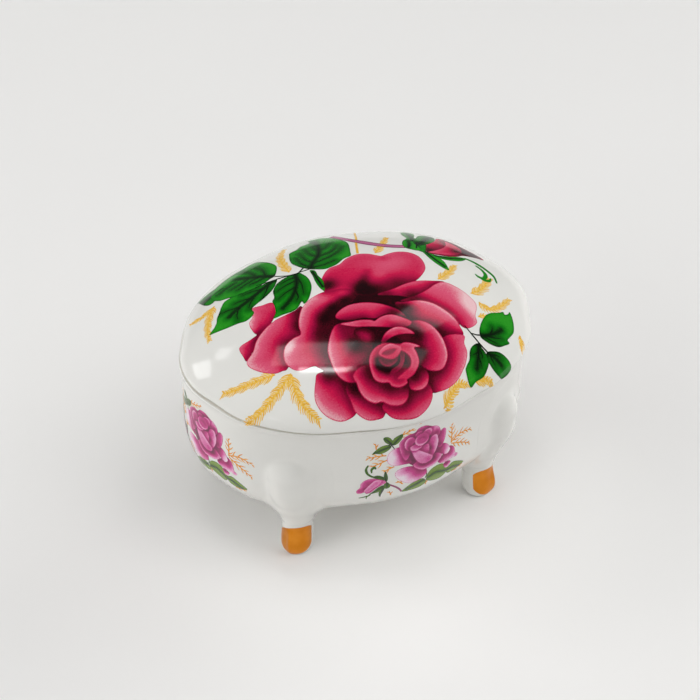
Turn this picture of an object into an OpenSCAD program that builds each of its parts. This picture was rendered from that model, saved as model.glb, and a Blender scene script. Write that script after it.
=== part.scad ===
// Footed oval trinket box in glazed porcelain: a scalloped bowl on four feet and a domed lift-off lid.
// X runs along the box, -Y is the front, Z is up, and the feet stand on Z = 0.

/* [Lid] */
// Length of the lid, end to end
lid_length = 100; // [94:1:112]
// Width of the lid, front to back
lid_width = 81; // [78:1:92]
// Rise of the dome above the lid's widest line
dome_rise = 15.3; // [12:0.1:20]
// Roundness of the dome in plan: 2 is an arc, and more is flatter on top
dome_power = 2.0; // [1.8:0.05:2.6]
// How steeply the dome turns down at its edge
dome_edge = 0.63; // [0.5:0.01:0.7]
// Thickness of the lid's porcelain
lid_wall = 2.8; // [2.2:0.1:3.2]
// How far the lid sits off centre along the box, within the play of its flange
lid_play_x = 0.8; // [0:0.1:0.8]
// How far the lid sits off centre towards the back, within the play of its flange
lid_play_y = -0.3; // [-0.6:0.1:0.6]

/* [Scallops] */
// Depth of each notch between two scallops, as a part of the radius
notch_depth = 0.018; // [0:0.001:0.03]
// Half width of a notch, in degrees of the oval
notch_width = 8.8; // [7:0.1:12]
// Place of the notches on both sides of each end, in degrees of the oval
end_notch = 20; // [18:0.5:25]
// Place of the notches on both sides of the front and the back, in degrees of the oval
side_notch = 70; // [65:0.5:72]

/* [Bowl] */
// Height of the bowl's rim above the table
rim_height = 49.6; // [47:0.1:56]
// Height of the bowl's underside above the table
belly_bottom = 12.5; // [12:0.1:14]
// Height of the widest line of the bowl
belly_height = 29; // [28:0.1:30]
// Radius of the curve from the widest line down to the underside
belly_radius = 18.5; // [18.2:0.1:22]
// How far the wall leans in between its widest line and its rim
neck = 0.9; // [0:0.1:1.5]
// Radius of the shoulder that rolls in to the rim
shoulder = 1.6; // [1:0.1:1.7]
// Thickness of the bowl's wall
bowl_wall = 3.2; // [2.7:0.1:3.6]
// Thickness of the bowl's floor
floor_wall = 3.5; // [2.5:0.1:4.5]

/* [Lid flange] */
// Depth of the ring under the lid that drops into the bowl
flange_depth = 3.4; // [2:0.1:5]
// Thickness of the ring
flange_wall = 2.2; // [1.6:0.1:2.6]
// Space all round between the ring and the bowl's mouth when the lid is centred
flange_play = 1.4; // [1.3:0.1:2]

/* [Feet] */
// Distance of a foot's pad from the middle of the box
foot_reach = 38; // [37:0.1:39]
// Direction of the feet, in degrees from the box's length
foot_angle = 42; // [40:0.5:44]
// Diameter of the flat pad that the foot stands on
pad_diameter = 6; // [5:0.1:7]
// Height of the gilded toe
toe_height = 11.5; // [9:0.1:12]

/* [Decals] */
// Length of the rose decal on the lid
rose_length = 86; // [60:1:88]
// Width of the rose decal on the lid
rose_width = 66; // [50:1:70]
// Length of each decal on the wall
posy_length = 34; // [20:1:34]
// Height of each decal on the wall
posy_height = 25; // [16:1:25]

/* [Hidden] */

around = 96;                    // points in each oval
wall_fade = 0.7;                // the bowl's scallops are shallower than the lid's
belly_inset = 0.6;              // how far the widest line lies inside the lid's edge
end_tuck = 0.7;                 // share of the belly's curve that shows at the two ends
side_tuck = 1.3;                // share of it that shows at the front and the back
lip = 0.8;                      // radius of the inside edge of the bowl's rim
floor_corner = 9;               // radius of the curve between the cavity's wall and its floor
seat_gap = 0.3;                 // clearance between the rim and the lid
lid_lip = 0.7;                  // radius at the lid's bottom edge
film = 0.12;                    // thickness of a decal or a gilded skin
bed = 0.1;                      // how deep a decal or a gilded skin is bedded in the glaze
joint_depth = 1.2;              // how deep a foot is let into the wall

half_x = lid_length / 2;
half_y = lid_width / 2;
floor_height = belly_bottom + floor_wall;
seat_height = rim_height + seat_gap;
lid_line = seat_height + lid_lip;
lid_place = [lid_play_x, lid_play_y, 0];

// ---- Oval outlines -------------------------------------------------------------------------------

notches = [for (end = [0, 180], side = [-1, 1], place = [end_notch, side_notch]) end + side * place];

function apart(a, b) = abs((((a - b + 180) % 360) + 360) % 360 - 180);
function sum(list, i = 0) = i < len(list) ? list[i] + sum(list, i + 1) : 0;
function notch(t) = sum([for (place = notches) exp(-pow(apart(t, place) / notch_width, 2))]);
function scallop(t, fade) = 1 - notch_depth * fade * notch(t);
function oval_point(t, rx, ry, fade, z) =
    let (s = scallop(t, fade)) [rx * cos(t) * s, ry * sin(t) * s, z];
function oval(rx, ry, fade, z) =
    [for (i = [0 : around - 1]) oval_point(360 * i / around, rx, ry, fade, z)];

// ---- Profiles ------------------------------------------------------------------------------------

// Quarter circle of radius r: how far it has curved away at distance d before its end
function arc(r, d) = d < r ? r - sqrt(max(0, r * r - pow(r - d, 2))) : 0;

// How far the bowl's outer wall lies inside the lid's edge at height z
function tuck(z) =
    belly_inset + (z < belly_height
        ? belly_radius - sqrt(pow(belly_radius, 2) - pow(belly_height - z, 2))
        : neck * (z - belly_height) / (rim_height - belly_height));
function wall_x(z) = half_x - end_tuck * tuck(z) - arc(shoulder, rim_height - z);
function wall_y(z) = half_y - side_tuck * tuck(z) - arc(shoulder, rim_height - z);

mouth_x = wall_x(rim_height - shoulder) - bowl_wall;
mouth_y = wall_y(rim_height - shoulder) - bowl_wall;
// Half length and half width of the cavity at height z
function cavity(z) = let (inset = bowl_wall + arc(floor_corner, z - floor_height))
    [half_x - end_tuck * tuck(z) - inset, half_y - side_tuck * tuck(z) - inset];

// Height of the dome above the lid's widest line, at u of the way out to its edge
function dome(u) = dome_rise * pow(max(0, 1 - pow(u, dome_power)), dome_edge);
function dome_fade(u) = pow(u, 3);

// Height of the lid's top over a point of its plan
function lid_top(x, y) =
    let (reach = norm([x / half_x, y / half_y]), t = atan2(y / half_y, x / half_x))
    lid_line + dome(reach / scallop(t, dome_fade(reach)));

// ---- Skins ---------------------------------------------------------------------------------------

function band(low, high, n) =
    [for (i = [0 : n - 1]) let (j = (i + 1) % n) each [
        [low + i, high + i, low + j],
        [low + j, high + i, high + j]
    ]];

// Closed solid through a list of rings, with its first and last rings filled in
module skin(rings) {
    n = len(rings[0]);
    last = len(rings) - 1;
    faces = concat(
        [[for (i = [0 : n - 1]) i]],
        [for (k = [0 : last - 1]) each band(k * n, (k + 1) * n, n)],
        [[for (i = [n - 1 : -1 : 0]) last * n + i]]
    );
    polyhedron([for (ring = rings) each ring], faces, convexity = 8);
}

// Closed ring-shaped solid, whose last ring joins its first
module loop_skin(rings) {
    n = len(rings[0]);
    count = len(rings);
    faces = [for (k = [0 : count - 1]) each band(k * n, (k + 1) % count * n, n)];
    polyhedron([for (ring = rings) each ring], faces, convexity = 8);
}

probe = 0.05;                   // step used to find which way a face looks

// Thin film on a face: face_at(a, b) gives the face's point at a along it and b up it, in millimetres
module film_on(face_at, half_a, half_b, film_rings = 6, film_spokes = 24) {
    function normal(a, b) =
        let (along_a = face_at(a + probe, b) - face_at(a - probe, b),
             along_b = face_at(a, b + probe) - face_at(a, b - probe),
             n = cross(along_a, along_b))
        n / norm(n);
    function ring(k, lift) = [for (i = [0 : film_spokes - 1])
        let (turn = 360 * i / film_spokes,
             a = half_a * k / film_rings * cos(turn),
             b = half_b * k / film_rings * sin(turn))
        face_at(a, b) + lift * normal(a, b)];
    skin(concat(
        [for (k = [1 : film_rings]) ring(k, -bed)],
        [for (k = [film_rings : -1 : 1]) ring(k, film)]
    ));
}

// ---- Bowl ----------------------------------------------------------------------------------------

belly_steps = 12;
neck_steps = 3;
shoulder_steps = 4;
cavity_steps = 12;

module bowl() {
    shoulder_start = rim_height - shoulder;
    outside = concat(
        [for (i = [0 : belly_steps - 1]) belly_bottom + (belly_height - belly_bottom) * i / belly_steps],
        [for (i = [0 : neck_steps - 1]) belly_height + (shoulder_start - belly_height) * i / neck_steps],
        [for (i = [0 : shoulder_steps]) shoulder_start + shoulder * sin(90 * i / shoulder_steps)]
    );
    outer = [for (z = outside) oval(wall_x(z), wall_y(z), wall_fade, z)];
    edge = [for (a = [90, 45, 0])
        let (inset = lip * (1 - cos(a)), z = rim_height - lip * (1 - sin(a)))
        oval(mouth_x + inset, mouth_y + inset, wall_fade, z)];
    depth = rim_height - lip - floor_height;
    inner = [for (i = [1 : cavity_steps])
        let (z = floor_height + depth * (1 - sin(90 * i / cavity_steps)), c = cavity(z))
        oval(c[0], c[1], wall_fade, z)];
    color("whitesmoke") skin(concat(outer, edge, inner));
}

// ---- Feet ----------------------------------------------------------------------------------------

pad = pad_diameter / 2;
// Height, then the middle's offset outwards, the half depth and the half width of the foot there
foot_rows = [
    [0, 0, pad, pad],
    [0.6, 0, 3.9, 3.9],
    [2.5, -0.1, 4.5, 4.4],
    [8, -0.7, 4.4, 4.3],
    [12, -1.1, 4.4, 4.4],
    [16, -0.9, 5.1, 5.2],
    [20, -0.4, 6.2, 6.4],
    [24, 0, 7.3, 7.6],
    [28, 0.2, 7.8, 8.4],
    [33, 0.2, 7.5, 7.9],
    [36, 0.2, 6.9, 7.2],
    [39.5, 0.2, 5.5, 5.4]
];
foot_spokes = 28;
foot_heights = [0, 0.25, 0.6, 1.4, each [2.5 : 2 : 38.5], 39.5];

// Smooth curve through rows that start with their own height
function row_before(rows, z, i = 0) =
    i >= len(rows) - 2 || z < rows[i + 1][0] ? i : row_before(rows, z, i + 1);
function row_slope(rows, i) =
    let (low = rows[max(0, i - 1)], high = rows[min(len(rows) - 1, i + 1)])
    (high - low) / (high[0] - low[0]);
function along(rows, z) =
    let (i = row_before(rows, z), low = rows[i], high = rows[i + 1],
         d = high[0] - low[0], s = (z - low[0]) / d)
    low * (2 * pow(s, 3) - 3 * s * s + 1)
    + high * (3 * s * s - 2 * pow(s, 3))
    + d * row_slope(rows, i) * (pow(s, 3) - 2 * s * s + s)
    + d * row_slope(rows, i + 1) * (pow(s, 3) - s * s);

// Point of a foot that stands along direction: turn is measured from straight outwards
function foot_point(direction, turn, z) =
    let (row = along(foot_rows, z), out = foot_reach + row[1] + row[2] * cos(turn), side = row[3] * sin(turn))
    [out * cos(direction) - side * sin(direction), out * sin(direction) + side * cos(direction), z];

// Above the underside a foot ends inside the wall, at joint_depth in front and twice that at its back
function let_in(p, turn) =
    let (z = p[2], t = atan2(p[1] / wall_y(z), p[0] / wall_x(z)),
         wall = oval_point(t, wall_x(z), wall_y(z), wall_fade, 0),
         reach = norm([p[0], p[1]]), depth = joint_depth * (1.5 - cos(turn) / 2),
         grow = z > belly_bottom ? max(1, (norm(wall) - depth) / reach) : 1)
    [p[0] * grow, p[1] * grow, z];

module foot(direction) {
    rings = [for (z = foot_heights) [for (i = [0 : foot_spokes - 1])
        let (turn = 360 * i / foot_spokes) let_in(foot_point(direction, turn, z), turn)]];
    color("whitesmoke") skin(rings);
}

// The gilding covers the outer face of a toe
toe_turn = 75;                  // how far round the toe it reaches on each side
toe_radius = 4.4;

module toe_gilding(direction) {
    middle = toe_height / 2 + 0.3;
    face_at = function (a, b) foot_point(direction, a / toe_radius * 180 / PI, middle + b);
    color("goldenrod") film_on(face_at, toe_radius * toe_turn * PI / 180, toe_height / 2 - 0.3);
}

// ---- Decals on the wall --------------------------------------------------------------------------

posy_middle = 35;               // height of a wall decal's middle
posy_turn = 2;                  // how far the front and rear decals sit past the middle, in degrees
end_posy_turn = 12;             // and the two end decals

module wall_decal(t) {
    step = norm(oval_point(t + 1, wall_x(posy_middle), wall_y(posy_middle), wall_fade, 0)
        - oval_point(t, wall_x(posy_middle), wall_y(posy_middle), wall_fade, 0));
    face_at = function (a, b) let (z = posy_middle + b)
        oval_point(t + a / step, wall_x(z), wall_y(z), wall_fade, z);
    color("orchid") film_on(face_at, posy_length / 2, posy_height / 2);
}

// ---- Lid -----------------------------------------------------------------------------------------

flange_x = mouth_x - flange_play;
flange_y = mouth_y - flange_play;
hollow_x = flange_x - flange_wall;
hollow_y = flange_y - flange_wall;
dome_steps = 14;
hollow_steps = 10;
apex = 0.05;                    // size of the flat at the middle of the dome

module lid() {
    hollow_edge = hollow_x / half_x;
    ceiling = [for (i = [0 : hollow_steps])
        let (k = apex + (1 - apex) * sin(90 * i / hollow_steps), u = hollow_edge * k)
        oval(hollow_x * k, hollow_y * k, 0, lid_line + dome(u) - lid_wall)];
    seat = [
        oval(hollow_x, hollow_y, 0, seat_height),
        oval(half_x - lid_lip, half_y - lid_lip, 1, seat_height)
    ];
    edge = [for (a = [30, 60])
        let (inset = lid_lip * (1 - sin(a)))
        oval(half_x - inset, half_y - inset, 1, lid_line - lid_lip * cos(a))];
    top = [for (i = [0 : dome_steps])
        let (u = apex + (1 - apex) * cos(90 * i / dome_steps))
        oval(half_x * u, half_y * u, dome_fade(u), lid_line + dome(u))];
    translate(lid_place) color("whitesmoke") skin(concat(ceiling, seat, edge, top));
}

module lid_flange() {
    low = seat_height - flange_depth;
    translate(lid_place) color("whitesmoke") loop_skin([
        oval(flange_x, flange_y, 0, low),
        oval(flange_x, flange_y, 0, seat_height),
        oval(hollow_x, hollow_y, 0, seat_height),
        oval(hollow_x, hollow_y, 0, low)
    ]);
}

module lid_decal() {
    face_at = function (a, b) [a, b, lid_top(a, b)];
    translate(lid_place) color("crimson") film_on(face_at, rose_length / 2, rose_width / 2, 8, 48);
}

// ---- Assembly ------------------------------------------------------------------------------------

bowl();
foot(180 + foot_angle);  // foot_front_left
foot(360 - foot_angle);  // foot_front_right
foot(180 - foot_angle);  // foot_rear_left
foot(foot_angle);  // foot_rear_right
toe_gilding(180 + foot_angle);  // toe_gilding_front_left
toe_gilding(360 - foot_angle);  // toe_gilding_front_right
toe_gilding(180 - foot_angle);  // toe_gilding_rear_left
toe_gilding(foot_angle);  // toe_gilding_rear_right
wall_decal(270 + posy_turn);  // decal_front
wall_decal(90 + posy_turn);  // decal_rear
wall_decal(180 + end_posy_turn);  // decal_left_end
wall_decal(end_posy_turn);  // decal_right_end
lid();
lid_flange();
lid_decal();
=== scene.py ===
"""Looks of a footed porcelain trinket box: glazed bowl, feet with gilded toes, domed lid, printed roses."""

import math
import bpy
import numpy as np
from mathutils import Euler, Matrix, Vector


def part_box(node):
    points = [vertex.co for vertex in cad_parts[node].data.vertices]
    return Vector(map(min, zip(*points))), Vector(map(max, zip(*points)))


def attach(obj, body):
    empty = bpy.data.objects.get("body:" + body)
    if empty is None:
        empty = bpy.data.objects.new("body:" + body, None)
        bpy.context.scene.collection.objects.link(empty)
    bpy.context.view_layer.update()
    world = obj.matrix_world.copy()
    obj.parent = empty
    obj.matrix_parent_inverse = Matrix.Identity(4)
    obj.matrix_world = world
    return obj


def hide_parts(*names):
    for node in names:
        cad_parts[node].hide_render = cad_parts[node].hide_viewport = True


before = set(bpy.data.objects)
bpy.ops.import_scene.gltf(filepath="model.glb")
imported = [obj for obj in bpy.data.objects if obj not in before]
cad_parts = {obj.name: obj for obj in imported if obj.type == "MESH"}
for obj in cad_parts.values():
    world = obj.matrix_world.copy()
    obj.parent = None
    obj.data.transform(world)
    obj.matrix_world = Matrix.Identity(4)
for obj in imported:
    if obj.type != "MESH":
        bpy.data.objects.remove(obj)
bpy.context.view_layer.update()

MM = 0.001                      # shapes are worked out in millimetres, and lights and camera in metres


def box_mm(node):
    """Lowest and highest corner of a CAD node, in millimetres."""
    low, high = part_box(node)
    return np.array(low) / MM, np.array(high) / MM


# ---- Sizes: the driving ones come from the frame. The rest have the CAD source's names, not all its values

lid_low, lid_high = box_mm("lid")
bowl_low, bowl_high = box_mm("bowl")
flange_low, flange_high = box_mm("lid_flange")

LID_HALF = (lid_high - lid_low)[:2] / 2
LID_PLACE = (lid_high + lid_low)[:2] / 2
SEAT_HEIGHT = lid_low[2]
LID_LIP = 0.7
LID_LINE = SEAT_HEIGHT + LID_LIP
DOME_RISE = lid_high[2] - LID_LINE
DOME_EDGE = 0.63
LID_WALL = 2.8
FLANGE_HALF = (flange_high - flange_low)[:2] / 2
FLANGE_WALL = 2.2
FLANGE_BOTTOM = flange_low[2]
FLANGE_CORNER = 0.7

NOTCH_DEPTH = 0.018
NOTCH_WIDTH = math.radians(8.8)
NOTCHES = np.radians([end + side * place for end in (0, 180) for side in (-1, 1) for place in (20, 70)])
WALL_FADE = 0.7

RIM_HEIGHT = bowl_high[2]
BELLY_BOTTOM = bowl_low[2]
BELLY_HEIGHT = 29.0
BELLY_RADIUS = 18.5
BELLY_INSET = 0.6
NECK = 0.9
FLARE = 1.6                     # how far the rim turns out again at the long sides; half of it at the ends
FLARE_HEIGHT = 3.2
SHOULDER = 0.6
SEAM = 0.5                      # open joint at the outer edge of the lid's seat
END_TUCK = 0.7
SIDE_TUCK = 1.3
BOWL_WALL = 3.2
FLOOR_HEIGHT = BELLY_BOTTOM + 3.5
FLOOR_CORNER = 9.0
LIP = 0.8
DISH_DEPTH = 0.8                # hollow of the underside
DISH_EDGE = 0.72                # where its side starts, and how far that runs, as shares of the underside
DISH_SLOPE = 0.12

FOOT_REACH = 38.0
FOOT_ANGLE = 42.0
FOOT_ROWS = np.array([          # height, outward offset, half depth, half width
    [0, 0, 3, 3],
    [0.6, 0, 3.9, 3.9],
    [2.5, -0.1, 4.5, 4.4],
    [8, -0.6, 4.4, 4.3],
    [12, -0.6, 4.5, 4.4],
    [16, -0.4, 5.2, 5.1],
    [20, 0.1, 6.4, 6.2],
    [24, 0.7, 7.4, 7.0],
    [28, 1.2, 7.8, 7.4],
    [32, 1.4, 7.7, 7.2],
    [33, 1.4, 7.7, 7.2],
])
# Soft upright ridge down the front of a toe: its height, where it has faded out, and its width in radians.
# A skin whose turns run from 0 to a full turn has only the half of it from 0 up.
TOE_KEEL = 0.7
KEEL_TOP = 10.0
KEEL_WIDTH = 0.22
KNEE_TOP = FOOT_ROWS[-1, 0]     # where the rows end in the half ellipsoid that closes the knee
KNEE_CAP = 6.8
FILLET = 4.6                    # how far the blend between a foot and the wall reaches, under the belly
KNEE_FILLET = 1.1               # and round the knee
BLEND_NARROW = 26.0             # height above which the blend has the width of the knee
BLEND_WIDENS = 10.0             # how far below that it has its full width

AROUND = 384                    # points in each oval of the smooth porcelain


# ---- Shape of the porcelain ------------------------------------------------------------------------------

def scallop(t, fade):
    apart = np.abs((t[..., None] - NOTCHES + math.pi) % (2 * math.pi) - math.pi)
    return 1 - NOTCH_DEPTH * fade * np.exp(-(apart / NOTCH_WIDTH) ** 2).sum(-1)


def oval_points(t, half_x, half_y, fade, z):
    s = scallop(t, fade)
    return np.stack([half_x * np.cos(t) * s, half_y * np.sin(t) * s, z + 0 * t], -1)


def oval(half_x, half_y, fade, z):
    return oval_points(np.arange(AROUND) * 2 * math.pi / AROUND, half_x, half_y, fade, z)


def quarter(radius, d):
    """How far a quarter circle has curved away at distance d before its end."""
    return np.where(d < radius, radius - np.sqrt(np.clip(radius**2 - (radius - d) ** 2, 0, None)), 0)


def tuck(z):
    below = np.clip(BELLY_HEIGHT - z, 0, BELLY_RADIUS)
    above = np.clip(z - BELLY_HEIGHT, 0, None)
    lean = NECK * above / (RIM_HEIGHT - BELLY_HEIGHT)
    return BELLY_INSET + BELLY_RADIUS - np.sqrt(BELLY_RADIUS**2 - below**2) + lean


def wall_half(z):
    """Half length and half width of the bowl's outside at height z."""
    flare = FLARE * np.clip(1 - (RIM_HEIGHT - z) / FLARE_HEIGHT, 0, 1) ** 2
    out = flare - quarter(SHOULDER, RIM_HEIGHT - z)
    half_x = LID_HALF[0] - END_TUCK * tuck(z) + 0.5 * flare + out - flare
    return half_x, LID_HALF[1] - SIDE_TUCK * tuck(z) + out


def wall_point(t, z):
    half_x, half_y = wall_half(z)
    return oval_points(t, half_x, half_y, WALL_FADE, z)


def dome(u):
    return DOME_RISE * np.clip(1 - u**2, 0, None) ** DOME_EDGE


def lid_top(x, y):
    """Height of the lid's top over a point of its own plan."""
    reach = np.hypot(x / LID_HALF[0], y / LID_HALF[1])
    t = np.arctan2(y / LID_HALF[1], x / LID_HALF[0])
    return LID_LINE + dome(reach / scallop(t, reach**3))


# ---- Distance fields, which blend the feet into the wall -------------------------------------------------

PROBE = 0.04                    # half the step over which slopes are taken


def slope_of(field, p):
    """Gradient of a field at points p."""
    steps = np.eye(3) * PROBE
    return np.stack([field(p + s) - field(p - s) for s in steps], -1) / (2 * PROBE)


def as_distance(field, p):
    return field(p) / np.linalg.norm(slope_of(field, p), axis=-1)


def smooth_min(a, b, width):
    near = np.clip(width - np.abs(a - b), 0, None) / width
    return np.minimum(a, b) - near**2 * width / 4


def wall_excess(p):
    z = np.clip(p[..., 2], BELLY_BOTTOM, RIM_HEIGHT - SHOULDER)
    half_x, half_y = wall_half(z)
    t = np.arctan2(p[..., 1] / half_y, p[..., 0] / half_x)
    wall = oval_points(t, half_x, half_y, WALL_FADE, z)
    return np.hypot(p[..., 0], p[..., 1]) - np.hypot(wall[..., 0], wall[..., 1])


def bowl_distance(p):
    """Distance outside the bowl's outer wall and underside, with a soft corner between them."""
    return -smooth_min(-as_distance(wall_excess, p), p[..., 2] - BELLY_BOTTOM, 1.2)


def along(rows, z):
    """Smooth curve through rows that start with their own height."""
    z = np.clip(z, rows[0, 0], rows[-1, 0])
    i = np.clip(np.searchsorted(rows[:, 0], z, side="right") - 1, 0, len(rows) - 2)
    here = np.arange(len(rows))
    before, after = np.maximum(here - 1, 0), np.minimum(here + 1, len(rows) - 1)
    slopes = (rows[after] - rows[before]) / (rows[after, 0] - rows[before, 0])[:, None]
    d = rows[i + 1, 0] - rows[i, 0]
    s = ((z - rows[i, 0]) / d)[..., None]
    d = d[..., None]
    return (
        rows[i] * (2 * s**3 - 3 * s**2 + 1)
        + rows[i + 1] * (3 * s**2 - 2 * s**3)
        + d * slopes[i] * (s**3 - 2 * s**2 + s)
        + d * slopes[i + 1] * (s**3 - s**2)
    )


def foot_point(direction, turn, z):
    """Point of a foot's side; turn is measured from straight outwards."""
    row = along(FOOT_ROWS, z)
    keel = TOE_KEEL * np.sin(math.pi * np.clip(z / KEEL_TOP, 0, 1)) * np.exp(-((turn / KEEL_WIDTH) ** 2))
    out = FOOT_REACH + row[..., 1] + row[..., 2] * np.cos(turn) + keel
    side = row[..., 3] * np.sin(turn)
    c, s = math.cos(direction), math.sin(direction)
    return np.stack([out * c - side * s, out * s + side * c, z + 0 * turn], -1)


def foot_distance(direction):
    c, s = math.cos(direction), math.sin(direction)

    def excess(p):
        row = along(FOOT_ROWS, p[..., 2])
        out = p[..., 0] * c + p[..., 1] * s - FOOT_REACH - row[..., 1]
        side = p[..., 1] * c - p[..., 0] * s
        rise = np.clip(p[..., 2] - KNEE_TOP, 0, None) / KNEE_CAP
        share = np.sqrt((out / row[..., 2]) ** 2 + (side / row[..., 3]) ** 2 + rise**2)
        return (share - 1) * (row[..., 2] + row[..., 3]) / 2

    return lambda p: as_distance(excess, p)


def settle(field, p, level=0.0, rounds=3):
    """Moves points p to where the field has that level."""
    for _ in range(rounds):
        slope = slope_of(field, p)
        p = p - (field(p) - level)[..., None] * slope / (slope**2).sum(-1, keepdims=True)
    return p


# ---- Meshes ----------------------------------------------------------------------------------------------

def add_mesh(name, points, faces, materials, face_materials=None, sharp=40):
    """Smooth mesh object from points in millimetres."""
    mesh = bpy.data.meshes.new(name)
    mesh.from_pydata((np.asarray(points) * MM).tolist(), [], faces)
    mesh.polygons.foreach_set("use_smooth", np.ones(len(mesh.polygons), bool))
    mesh.set_sharp_from_angle(angle=math.radians(sharp))
    for material in materials:
        mesh.materials.append(material)
    if face_materials is not None:
        mesh.polygons.foreach_set("material_index", np.asarray(face_materials, np.int32))
    mesh.update()
    piece = bpy.data.objects.new(name, mesh)
    bpy.context.scene.collection.objects.link(piece)
    return piece


def ring_faces(count, n, looped=False):
    """Quads between count rings of n points each."""
    i = np.arange(n)
    j = (i + 1) % n
    bands = count if looped else count - 1
    quads = []
    for k in range(bands):
        low, high = k * n, (k + 1) % count * n
        quads.append(np.stack([low + i, low + j, high + j, high + i], -1))
    return np.concatenate(quads)


def skin(rings):
    """Points and faces of a closed skin through rings, filled at both ends with a fan."""
    n = len(rings[0])
    points = np.concatenate([np.concatenate(rings), [rings[0].mean(0), rings[-1].mean(0)]])
    first, last = len(points) - 2, len(points) - 1
    i = np.arange(n)
    j = (i + 1) % n
    end = (len(rings) - 1) * n
    faces = ring_faces(len(rings), n).tolist()
    faces += np.stack([j, i, np.full(n, first)], -1).tolist()
    faces += np.stack([end + i, end + j, np.full(n, last)], -1).tolist()
    return points, faces


def part(name, rings, body, nodes, materials, bare_bands=(), looped=False):
    """A piece of porcelain through rings, which stands for CAD nodes. bare_bands are its unglazed bands."""
    n = len(rings[0])
    if looped:
        points, faces = np.concatenate(rings), ring_faces(len(rings), n, True).tolist()
    else:
        points, faces = skin(rings)
    which = np.zeros(len(faces), int)
    for band in bare_bands:
        which[band * n : (band + 1) * n] = 1
    piece = add_mesh(name, points, faces, materials, which)
    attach(piece, body)
    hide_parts(*nodes)
    return piece


# ---- Materials -------------------------------------------------------------------------------------------

def srgb(code):
    """Linear colour of a #RRGGBB code."""
    values = np.array([int(code[i : i + 2], 16) for i in (1, 3, 5)]) / 255
    return np.where(values <= 0.04045, values / 12.92, ((values + 0.055) / 1.055) ** 2.4)


def new_material(name):
    material = bpy.data.materials.new(name)
    material.use_nodes = True
    nodes, links = material.node_tree.nodes, material.node_tree.links
    return material, nodes, links, nodes["Principled BSDF"]


def noise(nodes, links, scale, detail=2.0, roughness=0.5):
    place = nodes.new("ShaderNodeTexCoord")
    texture = nodes.new("ShaderNodeTexNoise")
    texture.inputs["Scale"].default_value = scale
    texture.inputs["Detail"].default_value = detail
    texture.inputs["Roughness"].default_value = roughness
    links.new(place.outputs["Object"], texture.inputs["Vector"])
    return texture


def ramp(nodes, links, source, low, high, colours):
    """Colours spread between two levels of a source."""
    made = nodes.new("ShaderNodeValToRGB")
    first, last = made.color_ramp.elements
    first.position, last.position = low, high
    first.color, last.color = (*colours[0], 1), (*colours[1], 1)
    links.new(source, made.inputs["Fac"])
    return made.outputs["Color"]


def add_bump(nodes, links, shader, textures, distance, strength=1.0):
    """Bump from the sum of textures."""
    total = textures[0].outputs["Fac"]
    for texture in textures[1:]:
        add = nodes.new("ShaderNodeMath")
        links.new(total, add.inputs[0])
        links.new(texture.outputs["Fac"], add.inputs[1])
        total = add.outputs["Value"]
    bump = nodes.new("ShaderNodeBump")
    bump.inputs["Distance"].default_value = distance
    bump.inputs["Strength"].default_value = strength
    links.new(total, bump.inputs["Height"])
    links.new(bump.outputs["Normal"], shader.inputs["Normal"])


GLAZE_RIPPLE = 0.00004          # height in metres of the slow waves in the glaze


def mottle(nodes, links, shader, texture, dark, pale, high=0.7):
    """Base colour that a texture spreads between two close shades."""
    colour = ramp(nodes, links, texture.outputs["Fac"], 0.3, high, (srgb(dark), srgb(pale)))
    links.new(colour, shader.inputs["Base Color"])


def glaze_surface(nodes, links, shader):
    """Gloss and slow waves of the glaze, which the prints share."""
    shader.inputs["Roughness"].default_value = 0.09
    shader.inputs["IOR"].default_value = 1.52
    add_bump(nodes, links, shader, [noise(nodes, links, 90, 1.0)], GLAZE_RIPPLE)


def porcelain_glaze():
    material, nodes, links, shader = new_material("porcelain_glaze")
    cloud = noise(nodes, links, 35, 3.0)
    mottle(nodes, links, shader, cloud, "#E9E8E3", "#EFEEE9")
    glaze_surface(nodes, links, shader)
    return material


def unglazed():
    material, nodes, links, shader = new_material("unglazed_porcelain")
    grain = noise(nodes, links, 1400, 3.0, 0.7)
    mottle(nodes, links, shader, grain, "#E3DFD4", "#F0EDE4")
    shader.inputs["Roughness"].default_value = 0.75
    add_bump(nodes, links, shader, [grain], 0.00003)
    return material


def gilding():
    material, nodes, links, shader = new_material("gilding")
    cloud = noise(nodes, links, 260, 3.0, 0.5)
    mottle(nodes, links, shader, cloud, "#DA8218", "#EA9630", 0.75)
    shader.inputs["Metallic"].default_value = 0.9
    shader.inputs["Roughness"].default_value = 0.3
    add_bump(nodes, links, shader, [cloud, noise(nodes, links, 1500, 2.0)], 0.00002)
    return material


glaze = porcelain_glaze()
bisque = unglazed()
gold = gilding()
PORCELAIN = [glaze, bisque]


# ---- Bowl ------------------------------------------------------------------------------------------------

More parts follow.
